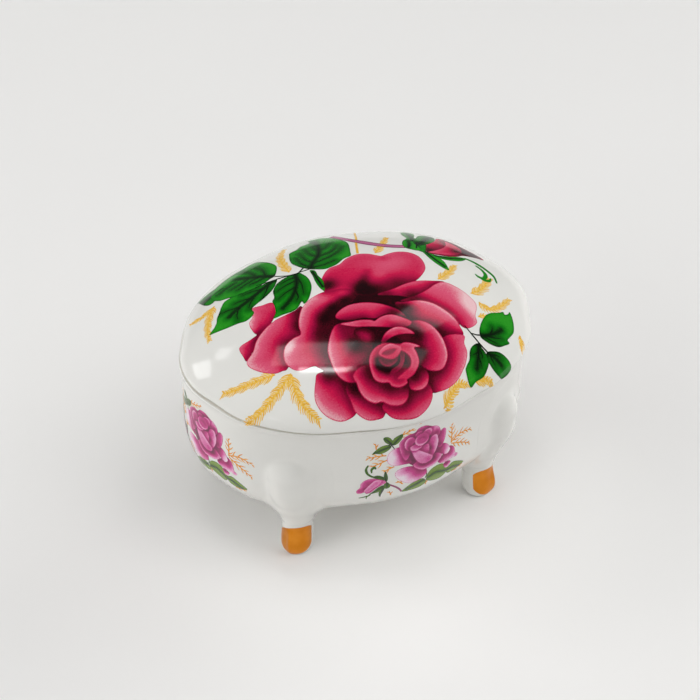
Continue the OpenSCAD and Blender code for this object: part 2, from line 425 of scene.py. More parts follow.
def bowl_rings():
    """Rings of the bowl from the middle of its underside, up the outside, and down to its floor."""
    bottom = wall_half(BELLY_BOTTOM)
    dish = []
    for k in (0.02, 0.3, 0.55, 0.6, 0.64, 0.68, 0.72, 0.8, 0.88, 0.94):
        sunk = DISH_DEPTH * min(1, max(0, (DISH_EDGE - k) / DISH_SLOPE)) ** 2
        dish.append(oval(bottom[0] * k, bottom[1] * k, WALL_FADE, BELLY_BOTTOM + sunk))
    belly = np.linspace(0, 90, 40)
    rise = BELLY_BOTTOM + (BELLY_HEIGHT - BELLY_BOTTOM) * (1 - np.cos(np.radians(belly)))
    neck = np.linspace(BELLY_HEIGHT, RIM_HEIGHT - SHOULDER, 16)[1:-1]
    roll = RIM_HEIGHT - SHOULDER + SHOULDER * np.sin(np.radians(np.linspace(0, 90, 10)))
    outside = [oval(*wall_half(z), WALL_FADE, z) for z in np.concatenate([rise, neck])]
    outside = [settle(bowl_distance, ring) for ring in outside]
    shoulder = [oval(*wall_half(z), WALL_FADE, z) for z in roll]
    mouth = [half - BOWL_WALL for half in wall_half(RIM_HEIGHT - SHOULDER)]
    edge = []
    for a in np.radians(np.linspace(90, 0, 8)):
        inset = LIP * (1 - math.cos(a))
        edge.append(oval(mouth[0] + inset, mouth[1] + inset, WALL_FADE, RIM_HEIGHT - LIP * (1 - math.sin(a))))
    depth = RIM_HEIGHT - LIP - FLOOR_HEIGHT
    inside = []
    for a in np.radians(np.linspace(0, 90, 40))[1:]:
        z = FLOOR_HEIGHT + depth * (1 - math.sin(a))
        inset = BOWL_WALL + quarter(FLOOR_CORNER, z - FLOOR_HEIGHT)
        half_x = LID_HALF[0] - END_TUCK * tuck(z) - inset
        half_y = LID_HALF[1] - SIDE_TUCK * tuck(z) - inset
        inside.append(oval(half_x, half_y, WALL_FADE, z))
    floor = [inside[-1] * (k, k, 1) for k in (0.75, 0.4, 0.05)]
    rings = dish + outside + shoulder + edge + inside + floor
    rim = len(dish + outside + shoulder) - 1
    return rings, [rim - 1, rim]


rings, bare = bowl_rings()
part("bowl_porcelain", rings, "base", ["bowl"], PORCELAIN, bare)


# ---- Feet ------------------------------------------------------------------------------------------------

FOOT_SIDES = {                  # which way each foot stands from the middle, along X and along Y
    "front_left": (-1, -1),
    "front_right": (1, -1),
    "rear_left": (-1, 1),
    "rear_right": (1, 1),
}
FOOT_DIRECTION = math.radians(FOOT_ANGLE)
FOOT_SPOKES = 144
BLEND_START = 9.0               # height where a foot's side starts to follow the blend
BLEND_ROWS = 60
LET_IN = 1.0                    # how deep a foot's root lies in the wall
BLEND_PROUD = 0.02              # how far the blend's skin lies over the bowl's, so that they never coincide
BLEND_SUNK = 0.06               # and how deep its last row lies in the bowl's
STRIDE = 0.4                    # step of the walk that finds the blend


def blend_rows(direction):
    """Rows from a foot's ankle over its knee and out on to the wall. The last lies just inside the wall."""
    turn = np.arange(FOOT_SPOKES) * 2 * math.pi / FOOT_SPOKES
    foot = foot_distance(direction)

    def field(p):
        share = np.clip((BLEND_NARROW - p[..., 2]) / BLEND_WIDENS, 0, 1)
        width = KNEE_FILLET + (FILLET - KNEE_FILLET) * share**2 * (3 - 2 * share)
        return smooth_min(bowl_distance(p), foot(p), width)

    root = np.array([FOOT_REACH * math.cos(direction), FOOT_REACH * math.sin(direction), BLEND_START - 3])
    p = foot_point(direction, turn, np.full(FOOT_SPOKES, BLEND_START))
    path = [p]
    moving = np.ones(FOOT_SPOKES, bool)
    for _ in range(130):
        normal = slope_of(field, p)
        normal /= np.linalg.norm(normal, axis=-1, keepdims=True)
        away = p - root
        away -= (away * normal).sum(-1, keepdims=True) * normal
        away /= np.linalg.norm(away, axis=-1, keepdims=True)
        p = np.where(moving[:, None], settle(field, p + STRIDE * away, rounds=2), p)
        path.append(p)
        moving &= foot(p) < FILLET + STRIDE
        if not moving.any():
            break
    path = np.array(path)
    steps = np.linalg.norm(np.diff(path, axis=0), axis=-1)
    length = np.concatenate([np.zeros((1, FOOT_SPOKES)), np.cumsum(steps, 0)])
    rows = np.empty((BLEND_ROWS, FOOT_SPOKES, 3))
    for i in range(FOOT_SPOKES):
        at = np.linspace(0, length[-1, i], BLEND_ROWS)
        for axis in range(3):
            rows[:, i, axis] = np.interp(at, length[:, i], path[:, i, axis])
    rows[1:] = settle(field, rows[1:], BLEND_PROUD)
    rows[-1] = settle(bowl_distance, rows[-1], -BLEND_SUNK)
    return rows


def foot_rings(direction):
    """Rings of a foot from the middle of its pad up to its knee, then back down inside the bowl's wall."""
    turn = np.arange(FOOT_SPOKES) * 2 * math.pi / FOOT_SPOKES

    def ring(z):
        return foot_point(direction, turn, np.full(FOOT_SPOKES, z))

    low = [ring(z) for z in (0, 0.08, 0.2, 0.4, 0.7, 1.1, 1.7)]
    middle = low[0].mean(0)
    pad = [middle + (low[0] - middle) * k for k in (0.3, 0.9)]
    sides = [ring(z) for z in np.linspace(2.4, BLEND_START - 0.5, 14)]
    rows = blend_rows(direction)
    inner = [settle(bowl_distance, rows[k], -LET_IN, 6) for k in range(BLEND_ROWS - 2, 3, -6)]
    return pad + low + sides + list(rows) + inner


def mirrored(rings, sides):
    """The rear right foot's rings, moved to another corner and still running the same way round."""
    step = sides[0] * sides[1]
    return [(ring * (*sides, 1))[::step] for ring in rings]


foot = foot_rings(FOOT_DIRECTION)
for place, sides in FOOT_SIDES.items():
    rings = mirrored(foot, sides)
    part(f"foot_{place}_porcelain", rings, "base", [f"foot_{place}"], PORCELAIN, (0, 1))


# ---- Lid -------------------------------------------------------------------------------------------------

HOLLOW_HALF = FLANGE_HALF - FLANGE_WALL


def lid_rings():
    """Rings of the lid from the middle of its hollow, round its edge, and up to the middle of its dome."""
    hollow_edge = HOLLOW_HALF[0] / LID_HALF[0]
    ceiling = []
    for a in np.radians(np.linspace(2, 80, 34)):
        u = hollow_edge * math.sin(a)
        ceiling.append(oval(*(HOLLOW_HALF * math.sin(a)), 0, LID_LINE + float(dome(u)) - LID_WALL))
    corner = LID_LINE + float(dome(hollow_edge)) - LID_WALL
    ceiling.append(oval(*(HOLLOW_HALF * 0.995), 0, corner - 0.3))
    ceiling.append(oval(*HOLLOW_HALF, 0, corner - 1.2))
    seat = [
        oval(*HOLLOW_HALF, 0, SEAT_HEIGHT),
        oval(*(LID_HALF - LID_LIP - 1.6), 1, SEAT_HEIGHT),
        oval(*(LID_HALF - LID_LIP), 1, SEAT_HEIGHT + SEAM),
    ]
    edge = []
    for a in np.radians(np.linspace(10, 80, 8)):
        inset = LID_LIP * (1 - math.sin(a))
        edge.append(oval(*(LID_HALF - inset), 1, LID_LINE - (LID_LIP - SEAM) * math.cos(a)))
    top = []
    for a in np.radians(np.linspace(0, 88.5, 90)):
        u = math.cos(a)
        top.append(oval(*(LID_HALF * u), u**3, LID_LINE + float(dome(u))))
    place = np.array([*LID_PLACE, 0])
    return [ring + place for ring in ceiling + seat + edge + top], [len(ceiling)]


def flange_rings():
    """Rings of the flange from its top down the outside, round its lower edge, and up the inside."""
    corner_angles = np.radians([22.5, 45, 67.5, 90])
    top = SEAT_HEIGHT + 0.2
    rings = [oval(*FLANGE_HALF, 0, top), oval(*FLANGE_HALF, 0, FLANGE_BOTTOM + FLANGE_CORNER)]
    for half, side, angles in ((FLANGE_HALF, -1, corner_angles), (HOLLOW_HALF, 1, corner_angles[::-1])):
        for a in angles:
            inset = FLANGE_CORNER * (1 - math.cos(a))
            rings.append(oval(*(half + side * inset), 0, FLANGE_BOTTOM + FLANGE_CORNER * (1 - math.sin(a))))
    rings += [oval(*HOLLOW_HALF, 0, FLANGE_BOTTOM + FLANGE_CORNER), oval(*HOLLOW_HALF, 0, top)]
    place = np.array([*LID_PLACE, 0])
    return [ring[::-1] + place for ring in rings]


rings, bare = lid_rings()
part("lid_porcelain", rings, "lid", ["lid"], PORCELAIN, bare)
part("lid_flange_porcelain", flange_rings(), "lid", ["lid_flange"], PORCELAIN, looped=True)


# ---- Flat drawing: outlines, tones and strokes on a canvas in millimetres --------------------------------

def curve(points, closed=True, per=6):
    """Smooth curve through points."""
    p = np.asarray(points, float)
    n = len(p)
    i = np.arange(n if closed else n - 1)
    if closed:
        before, after, beyond = p[(i - 1) % n], p[(i + 1) % n], p[(i + 2) % n]
    else:
        before, after, beyond = p[np.maximum(i - 1, 0)], p[i + 1], p[np.minimum(i + 2, n - 1)]
    s = (np.arange(per) / per)[:, None, None]
    here = p[i]
    made = 0.5 * (
        2 * here
        + (after - before) * s
        + (2 * before - 5 * here + 4 * after - beyond) * s**2
        + (3 * here - before - 3 * after + beyond) * s**3
    )
    made = made.transpose(1, 0, 2).reshape(-1, 2)
    return made if closed else np.concatenate([made, p[-1:]])


def line_distance(p, line, closed=False):
    """Distance of points p from a line of points."""
    a = line if closed else line[:-1]
    b = np.roll(line, -1, 0) if closed else line[1:]
    ab = b - a
    rel = p[:, None] - a
    s = np.clip((rel * ab).sum(-1) / np.maximum((ab * ab).sum(-1), 1e-9), 0, 1)
    return np.linalg.norm(rel - s[..., None] * ab, axis=-1).min(1)


def inside_distance(p, outline):
    """How far points p lie inside a closed outline; negative outside it."""
    a, b = outline, np.roll(outline, -1, 0)
    x, y = p[:, :1], p[:, 1:]
    rise = np.where(b[:, 1] == a[:, 1], 1e-9, b[:, 1] - a[:, 1])
    crossed = ((a[:, 1] > y) != (b[:, 1] > y)) & (x < a[:, 0] + (y - a[:, 1]) * (b[:, 0] - a[:, 0]) / rise)
    inside = crossed.sum(1) % 2 == 1
    return np.where(inside, 1, -1) * line_distance(p, outline, closed=True)


def spot(p, x, y, radius):
    """Soft round spot: 1 in its middle, fading out at about twice the radius."""
    return np.exp(-((p[:, 0] - x) ** 2 + (p[:, 1] - y) ** 2) / radius**2)


# Tones of a rose print run from 0, near black, through 0.5, its full colour, to 1, its palest edge
FULL = 0.5
REACH = 6.0                     # how far round a petal its own shadow can fall


def paint_petals(p, petals, size=1.0):
    """Tone of each point, and how far it lies inside the petals, which are painted from back to front.
    size is the drawing's scale against the big rose on the lid."""
    tone = np.full(len(p), 0.12)
    inside = np.full(len(p), -1e3)
    for petal in petals:
        outline = curve(petal["outline"])
        near = np.all((p > outline.min(0) - REACH * size) & (p < outline.max(0) + REACH * size), axis=1)
        q = p[near]
        d = inside_distance(q, outline)
        shadow = petal.get("shadow", 0.6) * np.exp(-((np.clip(-d, 0, None) / (2.0 * size)) ** 1.5))
        under = tone[near] * (1 - shadow)
        rim_side = np.array(petal.get("light", (0, 0)), float)
        middle = outline.mean(0)
        spread = np.abs(outline - middle).max()
        facing = np.clip(0.5 + 0.8 * ((q - middle) @ rim_side) / spread, 0, 1) if rim_side.any() else 1.0
        fall = np.exp(-((np.clip(d, 0, None) / petal.get("width", 1.6 * size)) ** 1.3))
        rim = petal.get("rim", 0.35) * facing * fall
        own = petal.get("tone", FULL) + rim
        for x, y, radius, amount in petal.get("spots", ()):
            own = own + amount * spot(q, x, y, radius)
        edge = np.clip(d / (0.25 * size) + 0.5, 0, 1)
        tone[near] = under + (np.clip(own, 0, 1) - under) * edge
        inside[near] = np.maximum(inside[near], d)
    return tone, inside


def paint_leaf(p, leaf, size=1.0):
    """Tone of each point of a leaf, darker along its veins and its edge, and how far it lies inside."""
    size = leaf.get("size", size)
    outline = curve(leaf["outline"])
    d = inside_distance(p, outline)
    to_rib = line_distance(p, curve(leaf["veins"][0], closed=False))
    to_vein = np.minimum.reduce([line_distance(p, curve(vein, closed=False)) for vein in leaf["veins"]])
    tone = leaf.get("tone", 0.42) + 0.5 * (1 - np.exp(-((to_vein / (1.7 * size)) ** 2)))
    tone = tone - 0.25 * np.exp(-((to_rib / (0.8 * size)) ** 2))
    tone = tone - 0.3 * np.exp(-((np.clip(d, 0, None) / (0.4 * size)) ** 2))
    return np.clip(tone, 0, 1), d


# ---- The big rose on the lid, in the lid's own plan ------------------------------------------------------

ROSE = [
    {"outline": [(-16, -4), (-6, -2), (4, -3), (12, -6), (17, -14), (18, -22), (14, -30), (4, -34.5),
                 (-6, -35.5), (-14, -31), (-18, -22), (-20, -12)],
     "tone": 0.1, "rim": 0, "shadow": 0},
    # far left, behind the others
    {"outline": [(-28.5, 5.3), (-26, 4.8), (-23.3, 4.3), (-22.8, 2), (-23.5, 0), (-25, -2), (-28, -4.5),
                 (-30.6, -4.8), (-31.3, -2.2), (-31, 0.5), (-29.5, 2)],
     "tone": 0.56, "light": (-1, -0.2), "rim": 0.4, "width": 2.2, "spots": [(-24, -1, 2, -0.15)]},
    {"outline": [(-36.1, -5.8), (-33, -5.2), (-30, -4.8), (-29, -6), (-32, -8), (-33.8, -9.3),
                 (-35.9, -10.8), (-36.2, -9)],
     "tone": 0.5, "light": (-1, 0.5), "rim": 0.3, "spots": [(-31, -7, 1.5, -0.2)]},
    {"outline": [(-19, -2.2), (-22, -2.5), (-25, -2.8), (-28.5, -4.3), (-31.5, -6.5), (-33.5, -9.2),
                 (-35.8, -10.8), (-36.1, -12.2), (-35.3, -14), (-33.5, -16.3), (-31, -18.2), (-29, -18.6),
                 (-27.5, -18.6), (-24, -15), (-20, -10), (-17.5, -5), (-17, -1.5)],
     "tone": 0.52, "light": (-0.8, 0.5), "rim": 0.42, "width": 3.4,
     "spots": [(-19, -3, 2.6, -0.3), (-20, -8, 2.6, -0.35), (-25.5, -11.5, 2.6, -0.18),
               (-30, -15.5, 4, 0.06)]},
    {"outline": [(-2.5, -0.5), (-6, 0.3), (-10, 0.8), (-14, -0.2), (-17, -2.3), (-19, -5.2), (-20.2, -8),
                 (-20.8, -10.8), (-23, -11.1), (-25.5, -12.2), (-27, -14.5), (-27.4, -17), (-26.5, -19.5),
                 (-24.5, -20.9), (-21.3, -21.2), (-20.2, -22.5), (-17.5, -25), (-13, -20), (-9, -12),
                 (-4, -6), (0, -3)],
     "tone": 0.5, "light": (-0.7, 0.7), "rim": 0.5, "width": 3.6,
     "spots": [(-13, -8.5, 3.2, -0.5), (-9.5, -6, 2.4, -0.45), (-5.5, -5, 2.4, -0.55),
               (-1, -4.6, 2.4, -0.5), (-11, -2, 2.4, 0.12), (-5, -1.2, 1.6, 0.2), (-25, -13, 2, 0.25),
               (-15, -14, 4, -0.35), (-18, -19, 3.4, -0.22), (-18, -12, 3, -0.15)]},
    {"outline": [(-9.4, 1), (-9.2, 3.5), (-7.5, 7), (-4.5, 10), (-1.5, 10.6), (-0.5, 11), (2, 12.8),
                 (5.5, 13.8), (8.5, 12.8), (10.5, 11), (11.5, 10.3), (14, 11), (17, 11.2), (19.8, 10),
                 (21.4, 7.5), (21.5, 4.5), (20.5, 1), (18, -1.8), (15, -3.8), (10, -5), (5, -5.5),
                 (1, -5.5), (-2, -4), (-2.5, -1.5), (-5, 0), (-7.5, 0.3)],
     "tone": 0.5, "rim": 0.16, "width": 1.2,
     "spots": [(-8, 3, 3.2, -0.5), (-1, -3, 3.4, -0.5), (3, -5, 4, -0.45), (1.4, 0.2, 1.8, -0.25),
               (3, 2.2, 1.5, -0.2), (4.6, 4.2, 1.3, -0.12), (7, 1.8, 2.2, 0.1), (10, 5.3, 4, 0.16),
               (15, 6.5, 4, 0.14), (5, 9, 4, 0.06), (10, -3.5, 3.5, -0.25), (11.5, 9, 1.6, -0.12)]},
    {"outline": [(3, -6), (8, -5.2), (12, -4.2), (16, -3.8), (20, -4.6), (23, -5.5), (22, -7.5), (18, -9.4),
                 (12, -10), (8, -8)],
     "tone": 0.56, "light": (0.3, 1), "rim": 0.28, "spots": [(5, -6.5, 3, -0.4), (12, -8.2, 2.5, -0.25)]},
    {"outline": [(8, -10), (13, -9.2), (17, -7.8), (20, -6.2), (23, -5.7), (25.5, -8), (27.2, -11),
                 (28.2, -14.3), (27.5, -16.5), (26, -18.8), (25.4, -21), (23, -22.3), (20.8, -22.1),
                 (19, -18), (16, -13), (10, -11)],
     "tone": 0.6, "light": (1, 0.1), "rim": 0.32, "width": 2.4,
     "spots": [(26.5, -14.5, 3.5, 0.35), (12, -10, 3, -0.3), (18, -17, 2.2, -0.2), (22, -10, 3.5, 0.1)]},
    {"outline": [(6, -10.8), (9, -10.8), (13, -11.3), (16, -13), (18.2, -15.8), (19.7, -19), (20, -22),
                 (19.7, -24.3), (16, -27), (12, -24), (8, -18)],
     "tone": 0.56, "light": (0.8, 0.6), "rim": 0.4, "width": 2.2,
     "spots": [(9, -13, 2.6, -0.4), (7, -12, 2.2, -0.3), (13, -22, 3.2, -0.35)]},
    {"outline": [(19.7, -24.3), (18.9, -26.5), (18.6, -29), (17, -31.5), (15.5, -33), (13, -35),
                 (10, -36.3), (7, -36.8), (4.8, -36.5), (4, -33), (9, -29), (14, -24)],
     "tone": 0.52, "light": (0.7, -0.7), "rim": 0.44, "width": 3.0, "spots": [(8, -32, 2.4, -0.2)]},
    {"outline": [(-10.5, -9.8), (-9, -8), (-6, -7), (-3, -7.2), (0, -8.2), (3, -10), (6, -13), (7, -16),
                 (5, -14.5), (2, -13.4), (-1, -13.8), (-4, -12.6), (-8, -12)],
     "tone": 0.6, "light": (0, 1), "rim": 0.18, "width": 1.5, "shadow": 0.95,
     "spots": [(-4, -12.5, 2, -0.2), (4.5, -13.2, 2.5, -0.35)]},
    # lower left, behind the ring
    {"outline": [(-21.5, -23.5), (-22.5, -25), (-23.8, -27.5), (-24.3, -29.5), (-23.8, -31.8),
                 (-22.3, -33.8), (-20, -35.2), (-17.5, -35.6), (-15.5, -35.2), (-14, -33), (-14, -29),
                 (-15, -26), (-17.5, -24.2), (-19.5, -23.6)],
     "tone": 0.5, "light": (-0.7, -0.7), "rim": 0.44, "width": 3.0, "spots": [(-19, -25, 2.4, -0.4)]},
    {"outline": [(-15.8, -29.2), (-15.9, -33), (-15.5, -35.3), (-13.5, -37.2), (-11, -38), (-9, -38),
                 (-7.5, -36), (-8, -32), (-11, -29)],
     "tone": 0.48, "light": (-0.3, -1), "rim": 0.44, "width": 2.6, "spots": [(-13.8, -30.5, 2.2, -0.42)]},
    {"outline": [(-8.6, -36), (-8.3, -37.8), (-6.5, -39.2), (-3, -40), (0, -40), (3, -39), (4.8, -37.3),
                 (5, -35.5), (4, -34), (0, -34), (-4, -35)],
     "tone": 0.5, "light": (0, -1), "rim": 0.44, "width": 2.6, "spots": [(-3, -36.2, 2, -0.2)]},
    {"outline": [(-11, -12), (-13, -13.3), (-15, -16), (-16.5, -19), (-17, -23), (-16.8, -25.5),
                 (-15.5, -28), (-13, -29.2), (-9, -29), (-6, -24), (-5, -18), (-7, -13)],
     "tone": 0.5, "light": (-1, 0.2), "rim": 0.45, "width": 2.4,
     "spots": [(-9, -20, 3.2, -0.5), (-11, -14.5, 3, -0.2), (-12, -26, 3, 0.03)]},
    {"outline": [(-13, -29.5), (-13, -31.5), (-12.2, -33.5), (-10.5, -35), (-8.5, -35.4), (-6.5, -36.7),
                 (-4, -37.3), (-2, -36.6), (-0.9, -35), (-0.5, -33.5), (-2, -30), (-6, -27), (-10, -26),
                 (-13, -27.3)],
     "tone": 0.5, "light": (-0.5, -0.8), "rim": 0.42, "width": 1.7,
     "spots": [(-6, -33, 2.3, -0.28), (-9, -28, 2.6, -0.3)]},
    {"outline": [(0, -32.5), (-0.4, -34.5), (0.5, -35.3), (2.5, -35.5), (4.3, -34.8), (5.5, -33.2),
                 (5.5, -31.5), (4, -30), (1, -31)],
     "tone": 0.5, "light": (0.2, -1), "rim": 0.4, "width": 1.3, "spots": [(2, -32, 1.6, -0.35)]},
    {"outline": [(6, -17.8), (8.5, -17.5), (10.5, -18.2), (12.3, -20), (13.4, -23), (13.5, -26),
                 (12.8, -29), (11, -31.3), (9.2, -32.2), (7, -32), (5.3, -31), (3.5, -28), (4, -23)],
     "tone": 0.5, "light": (1, 0), "rim": 0.45, "width": 1.5,
     "spots": [(7.2, -22, 2.2, -0.45), (6, -27, 2.2, -0.45), (8, -19.5, 1.5, -0.1)]},
    # the heart
    {"outline": [(-8.3, -16.5), (-7, -15.2), (-5, -15.8), (-3.6, -17.2), (-3.3, -19), (-4.2, -20.8),
                 (-6.2, -21), (-7.8, -19.2)],
     "tone": 0.5, "rim": -0.4, "width": 1.6, "shadow": 0.2},
    {"outline": [(-10.2, -12.3), (-8, -12.6), (-5, -13), (-2.5, -13.9), (-1.5, -14.6), (0, -14), (2, -13.7),
                 (4, -14.2), (6, -15.8), (7.6, -17.7), (6, -18.8), (3, -18.4), (0, -17.2), (-3, -16),
                 (-7, -14.5)],
     "tone": 0.58, "light": (0, 1), "rim": 0.35, "width": 1.2,
     "spots": [(-5, -15, 2, -0.15), (4, -15.5, 2, 0.08)]},
    {"outline": [(1.8, -20), (5, -20.4), (5.8, -22), (5, -24), (3, -23.6), (2, -22)],
     "tone": 0.4, "rim": -0.25, "width": 1.0, "shadow": 0.2},
    {"outline": [(-3.2, -22.4), (-1.9, -20.4), (0, -18.9), (2.4, -18.2), (4.6, -18.7), (6.1, -20),
                 (6.8, -21.4), (5, -20.9), (3, -20.6), (1, -20.7), (-1, -21.4), (-2.6, -22.6)],
     "tone": 0.58, "light": (0, 1), "rim": 0.4, "width": 1.1, "spots": [(3, -20.6, 1.4, -0.15)]},
    {"outline": [(-8.4, -28.5), (-7.8, -25.5), (-6.2, -23.3), (-4, -22.1), (-1.5, -22), (1, -23), (4, -24),
                 (4.9, -26), (4.8, -28), (4, -30), (2, -31.8), (-0.3, -32.6), (-0.6, -33.4), (-2.8, -33.8),
                 (-4.7, -33), (-5.2, -32), (-7, -31.4), (-8.2, -30.3)],
     "tone": 0.46, "rim": 0.34, "width": 1.0,
     "spots": [(-5.8, -27.4, 1.5, -0.55), (-4.4, -29, 1.3, -0.45), (0.8, -27.4, 1.7, -0.5),
               (-2, -28.6, 1.7, -0.45), (-5.6, -25.6, 0.9, -0.3), (1.4, -29.4, 1.1, -0.2)]},
    {"outline": [(1.8, -25.2), (1.5, -27), (0.3, -28.8), (-1.6, -30), (-4.2, -30.4), (-3, -29.2),
                 (-1, -28.6), (0.1, -27.4), (0.6, -25.8)],
     "tone": 0.26, "light": (1, -1), "rim": 0.28, "width": 0.6, "shadow": 0.1},
    {"outline": [(-5.2, -25.6), (-5, -27.3), (-3.6, -28.3), (-1.8, -28), (-0.4, -27), (-0.2, -25.6),
                 (-2.6, -25)],
     "tone": 0.2, "light": (0, -1), "rim": 0.3, "width": 0.5, "shadow": 0.1},
    {"outline": [(-0.5, -22.6), (1.3, -23.6), (3, -23.2), (5, -24), (6.6, -25.3), (5, -25.2), (4.9, -26.6),
                 (4.8, -28.4), (4, -30), (2, -31.5), (0, -32.2), (-2.6, -31.8), (-0.5, -30.8), (1.8, -29.8),
                 (2.8, -28.2), (2.7, -26.8), (1.9, -25.6), (0.8, -24.6)],
     "tone": 0.54, "light": (0.6, 0.6), "rim": 0.36, "width": 0.9, "shadow": 0.3},
    {"outline": [(-4.6, -24.4), (-3.7, -25.8), (-2, -26.7), (-0.4, -26.4), (1, -25.4), (1.6, -24.3),
                 (0.6, -23.2), (-0.8, -22.5), (-2.6, -22.8), (-4, -23.6)],
     "tone": 0.5, "light": (0, 1), "rim": 0.38, "width": 1.0, "shadow": 0.3},
    {"outline": [(-4, -24.6), (-2.8, -24), (-1, -23.9), (0.3, -24.3), (-0.6, -25.1), (-2.2, -25.5),
                 (-3.4, -25.2)],
     "tone": 0.24, "rim": 0.1, "width": 0.5, "shadow": 0},
]


# ---- Thin printed films on the glaze ---------------------------------------------------------------------

SUNK = -0.03                    # a film's underside lies this deep in the glaze


def lid_face(a, b):
    """Point of the lid's top over its own plan."""
    return np.stack([a + LID_PLACE[0], b + LID_PLACE[1], lid_top(a, b)], -1)


def wall_face(start):
    """Canvas on the bowl's wall: a runs along it from the direction start, and b is the height."""
    middle = 35.0
    ends = wall_point(np.array([start, start + 0.02]), np.array([middle, middle]))
    step = np.linalg.norm(ends[1] - ends[0]) / 0.02

    def face(a, b):
        return wall_point(start + a / step, b)

    return face


def lifted(face_at, p, lift):
    """Points over a canvas, lifted along its normal."""
    a, b = p[:, 0], p[:, 1]
    along_a = face_at(a + PROBE, b) - face_at(a - PROBE, b)
    along_b = face_at(a, b + PROBE) - face_at(a, b - PROBE)
    normal = np.cross(along_a, along_b)
    normal /= np.linalg.norm(normal, axis=-1, keepdims=True)
    return face_at(a, b) + lift * normal


def clipped_grid(low, high, step, paint):
    """Points, tones and triangles of a grid, cut off along the outline that paint gives."""
    xs, ys = np.arange(low[0], high[0], step), np.arange(low[1], high[1], step)
    p = np.stack([v.ravel() for v in np.meshgrid(xs, ys)], -1)
    tone, inside = paint(p)
    corner = (np.arange(len(ys) - 1)[:, None] * len(xs) + np.arange(len(xs) - 1)).ravel()
    up = corner + len(xs)
    tris = np.concatenate([np.stack([corner, corner + 1, up + 1], -1), np.stack([corner, up + 1, up], -1)])
    held = inside[tris] > 0
    count = held.sum(1)
    kept = [tris[count == 3]]
    cut_pairs, cut_faces = [], []
    for wanted in (1, 2):
        some, odd = tris[count == wanted], np.argmax(held[count == wanted] == (wanted == 1), axis=1)
        a, b, c = (some[np.arange(len(some)), (odd + k) % 3] for k in range(3))
        cut_pairs += [np.stack([a, b], -1), np.stack([a, c], -1)]
        cut_faces.append((a, b, c))
    pairs = np.sort(np.concatenate(cut_pairs), axis=1)
    edges, index = np.unique(pairs, axis=0, return_inverse=True)
    index = index.ravel() + len(p)
    share = (inside[edges[:, 0]] / (inside[edges[:, 0]] - inside[edges[:, 1]]))[:, None]
    new_points = p[edges[:, 0]] * (1 - share) + p[edges[:, 1]] * share
    new_tone = tone[edges[:, 0]] * (1 - share[:, 0]) + tone[edges[:, 1]] * share[:, 0]
    ones, twos = len(cut_faces[0][0]), len(cut_faces[1][0])
    ab1, ac1 = index[:ones], index[ones : 2 * ones]
    ab2, ac2 = index[2 * ones : 2 * ones + twos], index[2 * ones + twos :]
    kept.append(np.stack([cut_faces[0][0], ab1, ac1], -1))
    kept.append(np.stack([ab2, cut_faces[1][1], cut_faces[1][2]], -1))
    kept.append(np.stack([ab2, cut_faces[1][2], ac2], -1))
    faces = np.concatenate(kept)
    used, faces = np.unique(faces, return_inverse=True)
    return np.concatenate([p, new_points])[used], np.concatenate([tone, new_tone])[used], faces.reshape(-1, 3)


def strokes(lines, per=5):
    """Points, tones and triangles of tapered strokes. A line is a path, the widths along it, and a tone."""
    points, tones, faces, start = [], [], [], 0
    for path, widths, tone in lines:
        middle = curve(path, closed=False, per=per)
        step = np.gradient(middle, axis=0)
        side = np.stack([-step[:, 1], step[:, 0]], -1) / np.linalg.norm(step, axis=1, keepdims=True)
        at = np.linspace(0, 1, len(middle))
        half = np.interp(at, np.linspace(0, 1, len(widths)), widths)[:, None] / 2
        pair = np.stack([middle + side * half, middle - side * half], 1).reshape(-1, 2)
        i = start + 2 * np.arange(len(middle) - 1)
        faces += [np.stack([i, i + 1, i + 3], -1), np.stack([i, i + 3, i + 2], -1)]
        points.append(pair)
        tones.append(np.full(len(pair), tone))
        start += len(pair)
    return np.concatenate(points), np.concatenate(tones), np.concatenate(faces)


def add_film(name, face_at, drawn, lift, material):
    """Closed thin film over a canvas, from the drawn points, tones and triangles."""
    p, tone, tris = drawn
    n = len(p)
    points = np.concatenate([lifted(face_at, p, lift), lifted(face_at, p, SUNK)])
    edges = np.concatenate([tris[:, [0, 1]], tris[:, [1, 2]], tris[:, [2, 0]]])
    key = edges.min(1) * n + edges.max(1)
    _, first, count = np.unique(key, return_index=True, return_counts=True)
    u, v = edges[first[count == 1]].T
    faces = tris.tolist() + (tris[:, ::-1] + n).tolist() + np.stack([v, u, u + n, v + n], -1).tolist()
    piece = add_mesh(name, points, faces, [material], sharp=50)
    attribute = piece.data.attributes.new("tone", "FLOAT", "POINT")
    attribute.data.foreach_set("value", np.tile(tone, 2).astype(np.float32))
    return piece


def print_ink(name, stops, grain=0.1):
    """Glossy print, coloured by tone and broken up by a fine grain. Stops are pairs of tone and colour."""
    material, nodes, links, shader = new_material(name)
    tone = nodes.new("ShaderNodeAttribute")
    tone.attribute_name = "tone"
    dots = noise(nodes, links, 2600, 1.0)
    spread = nodes.new("ShaderNodeMapRange")
    spread.inputs["From Min"].default_value = 0.25
    spread.inputs["From Max"].default_value = 0.75
    spread.inputs["To Min"].default_value = -grain
    spread.inputs["To Max"].default_value = grain
    links.new(dots.outputs["Fac"], spread.inputs["Value"])
    add = nodes.new("ShaderNodeMath")
    links.new(tone.outputs["Fac"], add.inputs[0])
    links.new(spread.outputs["Result"], add.inputs[1])
    made = nodes.new("ShaderNodeValToRGB")
    elements = made.color_ramp.elements
    while len(elements) < len(stops):
        elements.new(0.5)
    for element, (place, colour) in zip(elements, stops):
        element.position = place
        element.color = (*srgb(colour), 1)
    links.new(add.outputs["Value"], made.inputs["Fac"])
    links.new(made.outputs["Color"], shader.inputs["Base Color"])
    glaze_surface(nodes, links, shader)
    return material


